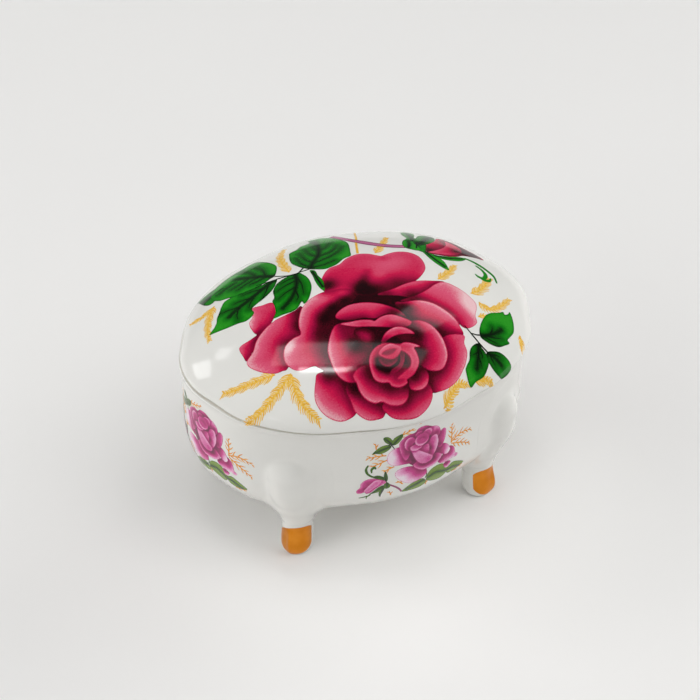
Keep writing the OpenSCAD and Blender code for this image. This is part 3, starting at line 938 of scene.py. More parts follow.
ROSE_INK = print_ink("rose_ink", [
    (0, "#1C0408"), (0.15, "#52071A"), (0.32, "#980A3A"), (0.5, "#D0184C"), (0.75, "#E25E7E"), (1, "#F6CCD0")
], 0.045)
POSY_INK = print_ink("posy_ink", [
    (0, "#5A0A3A"), (0.25, "#A01860"), (0.5, "#D0388C"), (0.75, "#EC9CCA"), (1, "#F8E6F0")
], 0.05)
LEAF_INK = print_ink("leaf_ink", [(0, "#021003"), (0.3, "#083E08"), (0.65, "#0C7A10"), (1, "#2EA022")], 0.07)
POSY_LEAF_INK = print_ink("posy_leaf_ink", [
    (0, "#1E3608"), (0.35, "#3C6412"), (0.7, "#5E8020"), (1, "#84A03C")
], 0.07)
VEIN_INK = print_ink("vein_ink", [(0, "#020A03"), (1, "#0A240E")], 0.1)
STEM_INK = print_ink("stem_ink", [(0, "#6A1C42"), (0.5, "#A8487A"), (1, "#CC7CA2")], 0.08)
FERN_INK = print_ink("fern_ink", [(0, "#E0A02C"), (0.5, "#F2BE48"), (1, "#F8D880")], 0.2)
POSY_FERN_INK = print_ink("posy_fern_ink", [(0, "#DC8618"), (0.5, "#EC9A28"), (1, "#F2B450")], 0.2)


# ---- Leaves, stems, bud and ferns on the lid -------------------------------------------------------------

LEAVES = [
    {"outline": [(-34.8, 17.6), (-36, 17), (-37.1, 17.4), (-37.9, 19.3), (-38.1, 22.4), (-37.9, 24.2),
                 (-36, 24.4), (-33, 24.8), (-30, 24.5), (-31, 20)],
     "tone": 0.3, "veins": [[(-31, 22), (-34.5, 21.5), (-37, 21)]]},
    {"outline": [(-18.1, 15.5), (-16.3, 18.7), (-15.8, 21), (-16.4, 24), (-17.6, 27), (-18.8, 28.8),
                 (-20.5, 29.1), (-23, 28.2), (-26, 27.7), (-29, 26.8), (-32, 25.2), (-34.5, 22.5),
                 (-35.5, 19), (-34.2, 16.2), (-32.7, 15.3), (-30.4, 14.3), (-27.7, 13.7), (-24.6, 13.5),
                 (-21.9, 13.9), (-20, 14.7)],
     "veins": [[(-18.5, 15.2), (-20.4, 17.2), (-24.2, 20.3), (-26.9, 23)],
               [(-20.2, 17.4), (-19.7, 21), (-20.5, 25)], [(-22.3, 20), (-22.9, 22.8), (-24, 26.2)],
               [(-24.2, 19.8), (-27, 18.8), (-29.8, 18.5)], [(-20.4, 16.6), (-22.5, 16.2), (-25, 16.2)],
               [(-28, 20.9), (-30.5, 20.5), (-33, 19.7)], [(-21.5, 18.3), (-25, 17.6), (-28.5, 16.6)]]},
    {"outline": [(-41, 4.5), (-39.2, 5.8), (-37.9, 7.4), (-37.3, 8.9), (-35.8, 11), (-34.6, 12.8),
                 (-32.3, 14.5), (-25, 13.5), (-18.8, 13.5), (-19.2, 11.6), (-21.5, 9), (-24.5, 7.2),
                 (-28.3, 5.5), (-28.5, 3.5), (-29.6, 2.4), (-31.5, 1.8), (-33.5, 2.4), (-35.8, 2.8),
                 (-37.7, 3.3), (-39.6, 3.9)],
     "veins": [[(-19.5, 13.2), (-23.5, 11.3), (-28, 9.3), (-32, 8), (-34.5, 6.7)],
               [(-23, 11.4), (-25.8, 12.4), (-28.5, 12.8)], [(-27, 9.7), (-29.5, 10.6), (-31.5, 10.9)],
               [(-21.5, 11.6), (-23, 9.5), (-24.6, 7.4)], [(-26.5, 9.3), (-28, 7.8), (-29.2, 5.9)],
               [(-31, 8.2), (-32.5, 6), (-33, 4)], [(-31, 8.4), (-34, 9.6), (-35.6, 9.8)]]},
    {"outline": [(-12.3, 12.6), (-11.5, 11.2), (-11, 8.9), (-11.1, 6.6), (-11.7, 4.3), (-12.9, 2),
                 (-14.6, -0.3), (-16, -1.1), (-16.2, 0.1), (-18.1, -1.7), (-20, -2.2), (-22.3, -2),
                 (-25, -1.9), (-23.8, -0.3), (-23.1, 2.4), (-22.9, 4.5), (-21.9, 5.8), (-21.2, 8.5),
                 (-19.6, 10.7), (-17.7, 12), (-15.4, 12.7)],
     "veins": [[(-13.3, 12.3), (-14.2, 8.9), (-15.8, 5.8), (-18.1, 2.8), (-21.5, 0.3)],
               [(-14.2, 9.3), (-17.3, 8.9), (-20.4, 7.8)], [(-15.6, 6.6), (-18.4, 5.9), (-21.2, 4.5)],
               [(-13.5, 10.5), (-13.5, 7), (-14.6, 2.8)], [(-16, 5.5), (-16.3, 2.4), (-17.3, 1.2)],
               [(-13.6, 11), (-16, 11), (-18.3, 10.4)]]},
    {"outline": [(-9, 12.7), (-10.5, 14.6), (-11.5, 16.9), (-11.9, 18.8), (-11.5, 21.5), (-10.7, 23.8),
                 (-9.8, 25.8), (-7.5, 26.7), (-5.5, 28.5), (-4, 28.8), (-2.3, 29.6), (-1.9, 31.9),
                 (0.2, 32.1), (2.2, 31.5), (3.7, 29.6), (5.2, 26.9), (6.2, 23.8), (6.2, 21.5), (5.4, 18.5),
                 (4.5, 15.8), (3.7, 13.8), (1.4, 13.1), (-0.9, 11.5), (-2.5, 10.8), (-5.2, 10.4),
                 (-7.1, 11.3)],
     "tone": 0.42,
     "veins": [[(-8.5, 13), (-7.1, 15.2), (-4.6, 17.9), (-2.8, 21.2), (-1.7, 24.6), (-1.1, 29.2)],
               [(-6.7, 15), (-2.5, 15.8), (1.4, 17.7), (3.7, 20.4)],
               [(-4.4, 18.1), (-0.9, 18.5), (1.8, 20.4), (2.9, 22.3)],
               [(-2.5, 21.5), (-0.5, 22.3), (1.8, 24.8)], [(-8.2, 13.1), (-4.8, 12.7), (-1.3, 13.5)],
               [(-6.9, 15.4), (-8, 18.5), (-7.8, 23.1)], [(-4.6, 18.1), (-5.7, 20.8), (-5.5, 25)],
               [(-2.8, 21.5), (-3.4, 23.5), (-3, 25.8)], [(-8.6, 13.5), (-9.8, 16.9), (-9.8, 20.8)]]},
    {"outline": [(-9.2, 12), (-8, 11), (-8.2, 8.5), (-7.9, 6), (-8.2, 4), (-9.2, 1.2), (-9.9, 3), (-9.9, 6),
                 (-9.5, 9)],
     "size": 0.4, "veins": [[(-8.8, 11), (-9, 6), (-9, 3)]]},
    # trio on the right
    {"outline": [(24.4, -24.9), (25.3, -22.8), (26.9, -20.8), (29, -18.9), (31.1, -18), (33.6, -17.8),
                 (35.3, -17.4), (35.3, -18.3), (36.5, -18), (37.5, -17.2), (37.2, -19.5), (36.5, -21.6),
                 (35.3, -23.7), (33.2, -25.3), (32.3, -26), (32.5, -26.8), (30.7, -27.5), (28.6, -28),
                 (26.5, -27.4), (24.8, -26)],
     "veins": [[(24.4, -24.9), (27.3, -24.8), (29.8, -24.1), (31.7, -23.2)],
               [(27.3, -24.8), (28.6, -23.6), (29.2, -22.6)], [(26.1, -25), (28.4, -25.6), (30.3, -25.7)],
               [(25.3, -25.1), (27, -26.3), (28.6, -27.2)]]},
    {"outline": [(22.8, -26.9), (20.7, -27.6), (19.4, -28.9), (18.4, -30.8), (16.9, -32.2), (16.2, -33.3),
                 (16.1, -36.4), (18.2, -35.5), (20.7, -34.7), (22.3, -33.5), (23.6, -32), (24, -30.3),
                 (23.4, -28.3)],
     "veins": [[(22.8, -27), (21.9, -29.1), (20.7, -31.2), (19.6, -33)],
               [(22.3, -28.7), (21.2, -29.4), (20, -29.7)], [(22.5, -28.7), (22.6, -29.8), (22.3, -30.8)],
               [(21.3, -30.5), (21.4, -31.6), (21.1, -32.6)]]},
    {"outline": [(24.4, -29.3), (26.1, -29.1), (28.2, -29.3), (29.8, -30.3), (30.7, -31.4), (30.3, -32.2),
                 (28.6, -33.5), (26.5, -34.3), (24.8, -33.7), (23.8, -32), (23.8, -30.3)],
     "veins": [[(24.4, -29.5), (25.9, -30.6), (27.3, -32)], [(25.2, -30), (26.6, -30), (27.8, -30.5)],
               [(25, -30), (25, -31.2), (25.4, -32.4)]]},
    # round the bud
    {"outline": [(22.5, 12), (22.5, 18), (24, 19.6), (26.2, 19), (27.2, 15), (25.5, 11), (24, 9.4)],
     "size": 0.5, "tone": 0.2, "veins": [[(23, 12), (25, 16)]]},
    {"outline": [(20, 13.1), (20.2, 15.4), (21.4, 17.7), (22.9, 18.8), (23.7, 18.1), (23.9, 14.6),
                 (23.9, 10.8), (22.7, 10.6), (21.4, 11.5)],
     "size": 0.5, "veins": [[(21, 13), (22.4, 15.5), (23, 17.5)]]},
    {"outline": [(23.5, 22.3), (24.3, 25.4), (25.6, 26.2), (27.5, 24.6), (27.2, 22.3), (25.6, 19.2),
                 (24.8, 16.9), (23.9, 17.3)],
     "size": 0.5, "tone": 0.36, "veins": [[(24.4, 17.5), (25.3, 21), (25.7, 24.5)]]},
    {"outline": [(25.2, 16.9), (26.8, 20), (28.7, 21.9), (30.6, 21.9), (32.2, 20.4), (31.4, 17.3),
                 (29.5, 15.4), (27.2, 14.2), (25, 13.8)],
     "tone": 0.36, "veins": [[(25.5, 14.8), (28.2, 17.3), (30.8, 20)]]},
    {"outline": [(23.9, 10.8), (23.9, 8.1), (24.3, 4.6), (25.4, 1.2), (26.8, -0.8), (27.3, 0.8),
                 (27.5, 3.8), (26.8, 6.5), (25.6, 8.5)],
     "size": 0.4, "tone": 0.5, "veins": [[(24.6, 9.5), (25.4, 5), (26.6, 1)]]},
    {"outline": [(25.6, 8.1), (27.5, 6.9), (30.2, 6.2), (32.9, 6), (34.8, 5.4), (34.8, 4.6), (32.9, 3.7),
                 (30.6, 3.8), (28.3, 4.6), (26.8, 5.8)],
     "size": 0.4, "tone": 0.5, "veins": [[(26.4, 7), (30, 5.2), (33.8, 4.9)]]},
]

BUD = [
    {"outline": [(24.8, 13.1), (27.5, 14.2), (30.6, 16.5), (32.2, 18.5), (33.3, 19.6), (35.2, 18.1),
                 (36.8, 15.8), (38.1, 13.1), (39.8, 9.6), (41, 6.9), (41, 5.4), (39.1, 6.2), (35.2, 6.9),
                 (32.9, 6.2), (30.2, 6.3), (27.5, 7.3), (25.6, 8.5), (24.7, 10.8)],
     "tone": 0.47, "rim": 0.1, "width": 1.0,
     "spots": [(37.5, 9, 3, -0.42), (35.5, 13, 2.5, -0.25), (26, 10.5, 2.2, -0.3), (30, 9.5, 2.4, 0.22),
               (33, 13, 2.4, 0.2), (39.5, 7, 2, -0.3)]},
    {"outline": [(25.5, 9.2), (29, 7.6), (32.5, 7.3), (35.5, 8.6), (36.6, 11), (36.2, 14), (34.5, 16.8),
                 (33.3, 14), (31, 11.5), (28, 10)],
     "tone": 0.5, "light": (-0.7, 0.7), "rim": 0.32, "width": 1.2, "shadow": 0.6,
     "spots": [(34.5, 9.5, 2.2, -0.35)]},
]

BUD_STEM = [(4.8, 30.8), (6.4, 26.5), (8.3, 23.1), (10.6, 20), (13.7, 16.9), (16.8, 15), (20.2, 13.8)]
STEMS = [                       # path, widths along it, tone
    (BUD_STEM, (1.8, 2.2, 1.9), 0.1),
    (BUD_STEM, (1.1, 1.4, 1.1), 0.8),
]
GREEN_STEMS = [
    ([(34.8, 5.4), (36.4, 3.8), (37.9, 1.5), (39.1, -1.2), (39.7, -3.5), (39.1, -6.3)],
     (0.7, 1.0, 0.9, 0.4), 0.7),
    ([(36.4, 1.5), (37.3, -0.8), (37.2, -3.1), (35.8, -4.6), (34.5, -4), (34.1, -2.7)],
     (0.5, 0.9, 1.3, 0.9, 0.3), 0.75),
    ([(34.5, -3.6), (35.6, -5.3), (37, -5.6), (38.2, -4.4)], (0.4, 1.2, 1.0, 0.3), 0.75),
]
TWIGS = [
    ([(-18.3, 15.2), (-15.5, 13.2), (-13, 12.6), (-12.3, 12.6), (-10.2, 14.2)], (0.35, 0.4, 0.4), 0.5),
    ([(-13.2, 12.6), (-11.4, 12.7), (-9, 12.7)], (0.3, 0.4), 0.5),
    ([(-24, 14.4), (-20.5, 13.6), (-17, 13.2), (-13.2, 12.6)], (0.3, 0.4, 0.4), 0.5),
    ([(21.4, -21.6), (22.3, -24.5), (23.4, -27.4), (24.6, -29.5)], (0.3, 0.4, 0.4), 0.5),
    ([(22.3, -24), (23.3, -24.5), (24.4, -24.7)], (0.3, 0.4), 0.5),
    ([(23.2, -26.8), (22.8, -27.2)], (0.4, 0.4), 0.5),
]

FERNS = [                       # path of each frond, and the length of its needles
    ([(-31, -18.5), (-36, -17.5), (-41, -16), (-44, -14.3)], 2.0),
    ([(-27.3, -20.3), (-30.9, -22.4), (-34.4, -23.9), (-38, -24.6), (-41, -23.8)], 2.3),
    ([(-27.3, -20.6), (-28, -24.6), (-27.6, -28.1), (-26.3, -31.2), (-24.9, -33.2)], 2.3),
    ([(-36, 15.1), (-38.5, 11.6), (-40.8, 6.6), (-41.7, 2.4)], 1.8),
    ([(-36.5, 14.5), (-40, 13.8), (-43.1, 15.1)], 1.6),
    ([(-14.3, 14.5), (-14, 20), (-13, 25), (-11, 29), (-9.5, 31)], 2.0),
    ([(10.5, 12.5), (13, 15), (15.5, 18), (18, 21.5)], 1.9),
    ([(21.8, -4.2), (24.8, -2.7), (27.5, -0.8), (29.8, 1.5)], 2.0),
    ([(28.6, -10.8), (32.3, -9.5), (35.7, -6.6), (37.8, -4.5)], 2.2),
    ([(29.4, -14.1), (30.7, -16.6), (33.2, -16.6), (36.5, -14.9), (40, -12.2)], 1.9),
    ([(26.7, -19.1), (28.2, -18.9), (29.8, -19.1)], 1.2),
    ([(37.2, -24), (36.9, -25.8), (36, -27.4)], 1.2),
    ([(7, -39.8), (9.9, -37.6), (12.7, -35.9), (15.6, -35.9)], 1.8),
    ([(17.8, -35.3), (20.5, -35.1), (23.2, -35.3)], 1.4),
]
GOLD_STEMS = [
    ([(16, 37.5), (14.5, 36.2), (12.9, 32.7), (11.2, 28.1), (9.8, 24.2), (7.9, 19.6), (6, 14.2)],
     (0.6, 0.7), 0.4),
]


def fronds(ferns, spacing=0.72, width=0.34, core=2.3, reach=1.2):
    """Strokes of fern fronds: a stem with needles that lean towards its tip, on both sides in turn."""
    lines = []
    for path, needle in ferns:
        middle = curve(path, closed=False, per=12)
        step = np.linalg.norm(np.diff(middle, axis=0), axis=1)
        length = np.concatenate([[0], np.cumsum(step)])
        lines.append((path, (width * 1.2, width * core, width * 0.6), 0.35))
        for k, at in enumerate(np.arange(spacing * 0.5, length[-1], spacing / 2)):
            root = np.array([np.interp(at, length, middle[:, axis]) for axis in (0, 1)])
            ahead = np.array([np.interp(at + 0.3, length, middle[:, axis]) for axis in (0, 1)])
            behind = np.array([np.interp(at - 0.3, length, middle[:, axis]) for axis in (0, 1)])
            forward = (ahead - behind) / np.linalg.norm(ahead - behind)
            side = np.array([-forward[1], forward[0]]) * (1 if k % 2 else -1)
            long = needle * reach * (1 - 0.55 * (at / length[-1]) ** 2) * (0.85 + 0.15 * math.sin(7.0 * k))
            bend = root + long * 0.5 * (forward * 0.66 + side * 0.78)
            tip = root + long * (forward * 0.78 + side * 0.66)
            widths = (width * 1.5, width * 1.1, width * 0.4)
            lines.append(([root, bend, tip], widths, 0.4 + 0.4 * (k % 3) / 2))
    return strokes(lines, per=3)


def veins(leaves, width=0.36):
    """Strokes of leaves' veins: a rib that tapers to its tip, and finer side veins."""
    lines = []
    for leaf in leaves:
        for k, vein in enumerate(leaf["veins"]):
            shares = (0.9, 0.8, 0.3) if k else (1.3, 1, 0.4)
            lines.append((vein, [width * share for share in shares], 0.3))
    return strokes(lines)


def paint_leaves(leaves, size=1.0):
    """Painter of several leaves, each over the ones before it."""
    def paint(p):
        tone, inside = np.zeros(len(p)), np.full(len(p), -1e3)
        for leaf in leaves:
            near = np.all((p > np.min(leaf["outline"], 0) - 1) & (p < np.max(leaf["outline"], 0) + 1), axis=1)
            own, d = paint_leaf(p[near], leaf, size)
            tone[near] = np.where(d > 0, own, tone[near])
            inside[near] = np.maximum(inside[near], d)
        return tone, inside

    return paint


def paint_bloom(petals, size=1.0):
    return lambda p: paint_petals(p, petals, size)


def bounds_of(shapes, margin=0.6):
    points = np.concatenate([np.asarray(shape["outline"], float) for shape in shapes])
    return points.min(0) - margin, points.max(0) + margin


def painted(shapes, step, painter, size=1.0):
    """Points, tones and triangles of shapes, drawn by their painter."""
    return clipped_grid(*bounds_of(shapes), step, painter(shapes, size))


def lid_print(name, drawn, lift, material):
    piece = add_film(name, lid_face, drawn, lift, material)
    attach(piece, "lid")
    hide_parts("lid_decal")


LID_STEP = 0.25

lid_print("lid_ferns", fronds(FERNS), 0.03, FERN_INK)
lid_print("lid_fern_stem", strokes(GOLD_STEMS), 0.032, FERN_INK)
lid_print("lid_bud_stem_edge", strokes(STEMS[:1]), 0.035, STEM_INK)
lid_print("lid_bud_stem", strokes(STEMS[1:]), 0.042, STEM_INK)
lid_print("lid_rose", painted(ROSE, LID_STEP, paint_bloom), 0.04, ROSE_INK)
lid_print("lid_bud", painted(BUD, LID_STEP, paint_bloom), 0.045, ROSE_INK)
lid_print("lid_leaves", painted(LEAVES, LID_STEP, paint_leaves), 0.05, LEAF_INK)
lid_print("lid_tendrils", strokes(GREEN_STEMS), 0.05, LEAF_INK)
lid_print("lid_veins", veins(LEAVES), 0.06, VEIN_INK)
lid_print("lid_twigs", strokes(TWIGS), 0.062, VEIN_INK)


# ---- Posies on the bowl's wall: along the wall, and height -----------------------------------------------

POSY_SIZE = 0.42
POSY = [
    {"outline": [(-3, 37), (-3.5, 39), (-4, 41), (-3, 43), (-1.5, 44.4), (0.5, 45), (1.5, 46), (3.5, 46.2),
                 (5.5, 45.2), (7.5, 44), (8.2, 42.6), (8.5, 40), (8.8, 37.5), (8.5, 35), (6, 32.5), (3, 32),
                 (0.5, 33.2), (-1.5, 35)],
     "tone": 0.3, "light": (-0.6, 0.8), "rim": 0.35, "width": 0.8, "shadow": 0,
     "spots": [(2, 44.8, 1.6, 0.18), (-0.5, 36, 1.5, -0.2)]},
    # outer petals
    {"outline": [(-5.2, 41.2), (-6.8, 40), (-7.4, 38), (-7, 36.5), (-5.5, 35.3), (-3, 35), (-0.6, 35),
                 (-1.6, 38), (-3.3, 41)],
     "tone": 0.55, "light": (-1, 0), "rim": 0.5, "width": 1.8,
     "spots": [(-5.8, 38, 1.7, 0.35), (-2, 37, 1.6, -0.2), (-0.8, 35.6, 1.2, -0.3)]},
    {"outline": [(-5.2, 32.5), (-4, 33.6), (-1.5, 33.8), (1, 33), (3, 32), (3.9, 30.8), (3.9, 29.4),
                 (2.6, 28.3), (0.5, 27.6), (-1.6, 27.9), (-3.4, 29.2), (-4.8, 30.8)],
     "tone": 0.58, "light": (-0.8, -0.6), "rim": 0.4, "width": 1.5,
     "spots": [(-1.5, 33, 1.6, -0.25), (-2.6, 30.6, 1.7, 0.28), (1.6, 30.8, 1.9, -0.22),
               (-0.2, 28.6, 1.2, 0.15)]},
    {"outline": [(9.3, 30), (11, 30.2), (11.8, 29.6), (10.8, 28.2), (9.8, 28.4)],
     "tone": 0.55, "light": (0.4, -1), "rim": 0.35, "width": 0.8, "spots": [(10.3, 29.8, 0.7, -0.4)]},
    {"outline": [(8.5, 33), (10, 34.5), (11.3, 35.4), (12.7, 34.5), (13.3, 33), (13.5, 31.8), (14.5, 31),
                 (13.8, 30.4), (12, 30.6), (10, 30.4), (8, 31), (7.5, 32)],
     "tone": 0.58, "light": (0.5, -1), "rim": 0.4, "width": 1.2,
     "spots": [(11.8, 33.2, 1.4, -0.25), (9, 32.5, 1.2, -0.2), (13.7, 31.1, 0.5, -0.3)]},
    {"outline": [(5.5, 34.5), (7, 36.6), (9, 37.5), (10.5, 36.6), (11.3, 35.2), (11.4, 34), (10.6, 33.2),
                 (9.5, 33.4), (8.6, 34), (8.3, 32.6), (6, 32.6)],
     "tone": 0.5, "light": (0.8, -0.6), "rim": 0.45, "width": 1.0,
     "spots": [(7.6, 35.8, 1.6, -0.28), (10.4, 34.4, 0.9, 0.25)]},
    {"outline": [(0, 34), (1, 32.2), (3, 31.1), (5.5, 31.2), (7.5, 32), (8.7, 33.5), (8.4, 34.3),
                 (6.5, 35.4), (3, 35.4)],
     "tone": 0.52, "light": (0, -1), "rim": 0.5, "width": 1.0,
     "spots": [(3, 33.8, 2, -0.45), (5.8, 34, 1.5, -0.4)]},
    # sides of the cup
    {"outline": [(7.5, 39.5), (8.2, 42), (9.2, 42.8), (10, 42), (9.9, 40), (9.3, 38), (8.4, 36.8),
                 (7.4, 37.2)],
     "tone": 0.45, "light": (0.9, 0.2), "rim": 0.3, "width": 0.7, "spots": [(8, 38, 0.9, -0.25)]},
    {"outline": [(4.5, 44.9), (6.5, 44.9), (7.8, 43.8), (8.1, 42.2), (7.5, 41), (6, 40.8), (5, 42.5)],
     "tone": 0.55, "light": (-0.5, 0.9), "rim": 0.35, "width": 0.6,
     "spots": [(7, 42.6, 0.7, -0.25), (6, 43.8, 0.6, 0.25)]},
    {"outline": [(-4, 41), (-3.8, 43), (-2, 44.5), (0, 44.8), (1, 43.5), (0, 42), (-1, 40), (-1, 38),
                 (-2.2, 36.2), (-3.4, 38.5)],
     "tone": 0.46, "light": (-0.9, 0.3), "rim": 0.3, "width": 0.9, "spots": [(-2.2, 38.5, 1.0, -0.2)]},
    {"outline": [(-2.6, 41.5), (-2.2, 43), (-1, 43.8), (0.2, 43.2), (0.4, 42), (-0.3, 41), (0.2, 40),
                 (-0.8, 39), (-2, 39.8)],
     "tone": 0.42, "rim": 0.5, "width": 0.55, "spots": [(-0.7, 41.8, 0.8, -0.1)]},
    # front of the cup
    {"outline": [(2, 39), (3, 39.8), (4.6, 40.2), (5.2, 41.5), (6.5, 42), (7.3, 41), (7.4, 38.5),
                 (6.8, 36.5), (5.6, 34.8), (4.2, 35.6), (2.8, 37.5)],
     "tone": 0.5, "light": (1, 0), "rim": 0.42, "width": 0.8,
     "spots": [(4.9, 37.8, 0.9, -0.4), (6.2, 38.5, 0.8, 0.12)]},
    {"outline": [(1.6, 38.6), (3, 39.6), (4.3, 39.6), (4.7, 38), (4.4, 36.2), (3.4, 36.4), (2.4, 37.2)],
     "tone": 0.52, "light": (-0.2, 1), "rim": 0.2, "width": 0.6, "spots": [(3.6, 38, 0.8, 0.1)]},
    {"outline": [(-1, 40), (-0.3, 38), (0.4, 36), (1.5, 34.2), (3, 33.2), (5, 33.4), (5.8, 34.7), (4.5, 36),
                 (2.5, 37.7), (1.2, 39), (0.6, 40)],
     "tone": 0.6, "light": (0.3, 0.9), "rim": 0.38, "width": 0.9,
     "spots": [(1, 38, 0.9, 0.15), (4.6, 34.4, 1.2, -0.12)]},
    # the spiral
    {"outline": [(0.4, 43.8), (1.2, 44.8), (2.4, 44.8), (2.8, 43.8), (1.5, 43.2)],
     "tone": 0.5, "light": (0, 1), "rim": 0.3, "width": 0.4},
    {"outline": [(2.7, 43.9), (3.8, 44.9), (5.3, 44.5), (5.3, 43), (4.4, 42), (3.6, 43.2)],
     "tone": 0.52, "light": (0, 1), "rim": 0.35, "width": 0.5},
    {"outline": [(-0.9, 40.4), (0.6, 40.9), (1.6, 40.4), (2.8, 39.9), (1.8, 38.9), (0.2, 38.8),
                 (-0.8, 39.4)],
     "tone": 0.6, "light": (0, -1), "rim": 0.35, "width": 0.5},
    {"outline": [(0.4, 42), (1, 43.3), (2.2, 43.9), (3.6, 43.7), (4.5, 42.5), (4.3, 41), (3, 40),
                 (1.5, 40.1), (0.6, 41)],
     "tone": 0.44, "light": (-0.4, -0.9), "rim": 0.5, "width": 0.55, "shadow": 0.5,
     "spots": [(2.7, 42, 1.1, -0.2)]},
    {"outline": [(1.5, 41.7), (2.4, 42.3), (3.4, 41.7), (3.9, 41.2), (3, 41.1), (2, 41.2)],
     "tone": 0.4, "rim": 0.05, "width": 0.4, "shadow": 0.1},
]
POSY_BUD = [
    {"outline": [(-15.8, 28), (-14.8, 29.2), (-14.6, 30.5), (-13.4, 31.6), (-11.5, 32), (-9.5, 31.4),
                 (-8, 30.6), (-7.8, 29.8), (-9.5, 29), (-10.8, 28), (-11.8, 26.9), (-13, 26.5),
                 (-13.6, 27.2), (-14.6, 26.8), (-15.6, 27)],
     "tone": 0.5, "rim": 0.22, "width": 0.6,
     "spots": [(-12.8, 30.6, 1.1, -0.15), (-13.2, 28.4, 0.8, -0.35), (-15, 28, 0.8, -0.2),
               (-9.5, 30.3, 1, 0.15)]},
    {"outline": [(-13.8, 27.6), (-12.4, 29.6), (-10.6, 31.2), (-9, 30.8), (-9.8, 29.4), (-11.4, 28.2),
                 (-12.6, 27)],
     "tone": 0.56, "light": (-0.6, 0.8), "rim": 0.35, "width": 0.5, "shadow": 0.3},
]
POSY_LEAVES = [
    {"outline": [(-8.4, 45.5), (-7.5, 45.8), (-6.5, 45.2), (-5.9, 44), (-6.1, 43), (-7, 43.2), (-8, 44.2)],
     "veins": [[(-6.2, 43.2), (-7.2, 44.4), (-7.9, 45.2)]]},
    {"outline": [(-5.8, 42.6), (-6, 43.8), (-5.2, 45), (-3.2, 45.7), (-3, 44.8), (-3.8, 43.4),
                 (-4.8, 42.6)],
     "veins": [[(-5.6, 42.9), (-4.6, 44), (-3.5, 45.1)]]},
    {"outline": [(-11.5, 40.4), (-10.6, 41.6), (-9, 42.8), (-7.2, 43), (-6.2, 42.2), (-7.2, 41), (-9, 40.3),
                 (-10.5, 40.6)],
     "veins": [[(-6.4, 42.3), (-8.4, 41.7), (-10.8, 40.8)]]},
    {"outline": [(4, 26.6), (4.1, 28.3), (5, 29.8), (7, 30.6), (9, 30.3), (9.8, 29), (10.8, 28),
                 (10.4, 25.8), (9, 24.4), (7, 24.6), (5.2, 25.4)],
     "veins": [[(4.6, 27.4), (7, 28.2), (10, 27)]]},
    {"outline": [(10.3, 27), (11.5, 28.4), (13, 28.8), (15.4, 27.6), (17, 26), (14.4, 24.8), (11.5, 24.8)],
     "veins": [[(10.6, 26.8), (13, 26.8), (15.6, 25.4)]]},
    {"outline": [(-3, 24.4), (-1.2, 26.6), (0.5, 27.6), (2.4, 27.9), (3.6, 27), (4, 25.4), (2.6, 24),
                 (0, 23.7)],
     "veins": [[(3.4, 27.2), (1.2, 26.2), (-1.6, 25)]]},
    {"outline": [(-11.3, 32.4), (-10.3, 32.9), (-9, 32.5), (-8, 31.6), (-7.4, 30.6), (-8.6, 31),
                 (-10, 31.6)],
     "veins": [[(-7.6, 30.9), (-9.2, 32), (-10.8, 32.4)]]},
    {"outline": [(-7.9, 34), (-7.3, 32.5), (-7.2, 31), (-7.6, 30.2), (-8.2, 31), (-8.3, 32.5)],
     "veins": [[(-7.7, 30.6), (-7.8, 32), (-7.9, 33.6)]]},
    {"outline": [(-7.8, 30.2), (-6.6, 29), (-6.7, 27.9), (-7.8, 27.6), (-8.3, 28.8)],
     "veins": [[(-7.5, 29.8), (-7.4, 28.2)]]},
    {"outline": [(-8.2, 29), (-9.5, 28.8), (-10.6, 27.8), (-12, 26.2), (-11, 26.3), (-9.6, 26.7),
                 (-8.6, 27.6)],
     "veins": [[(-8.4, 28.6), (-9.8, 27.8), (-11.4, 26.6)]]},
    {"outline": [(-8, 28.2), (-8.4, 26.8), (-8.9, 25.2), (-8.9, 23.8), (-9.5, 25), (-9.5, 26.8),
                 (-8.9, 28.2)],
     "veins": [[(-8.5, 27.8), (-8.9, 26), (-9, 24.4)]]},
]
POSY_TENDRILS = [
    ([(-12.5, 36.8), (-13.1, 35.5), (-12.8, 34), (-11.8, 32.9), (-10.8, 32.4)], (0.4, 0.75, 0.6, 0.5), 0.35),
    ([(-11.6, 34), (-11.6, 35.2), (-10.9, 35.8), (-10.4, 35.2)], (0.3, 0.7, 0.9, 0.3), 0.35),
    ([(-15, 24.6), (-13.5, 24.9), (-12.3, 25.4), (-11.8, 26.4)], (0.3, 0.6, 0.4), 0.4),
    ([(-12.6, 25.2), (-12.9, 24.4), (-12.8, 23.6)], (0.4, 0.2), 0.4),
    ([(3.6, 27.6), (4, 28.8), (3.8, 29.8)], (0.3, 0.3), 0.3),
]
POSY_STEMS = [
    ([(-6.9, 29), (-5, 27.5), (-3.8, 26), (-3, 24.4)], (0.5, 0.6, 0.5), 0.35),
]
POSY_TWIGS = [
    ([(-6.6, 43.4), (-5.8, 42), (-5.2, 40.9)], (0.2, 0.3, 0.15), 0.4),
    ([(-7.2, 42.8), (-6.4, 42.9), (-5.6, 42.6)], (0.2, 0.3), 0.4),
]
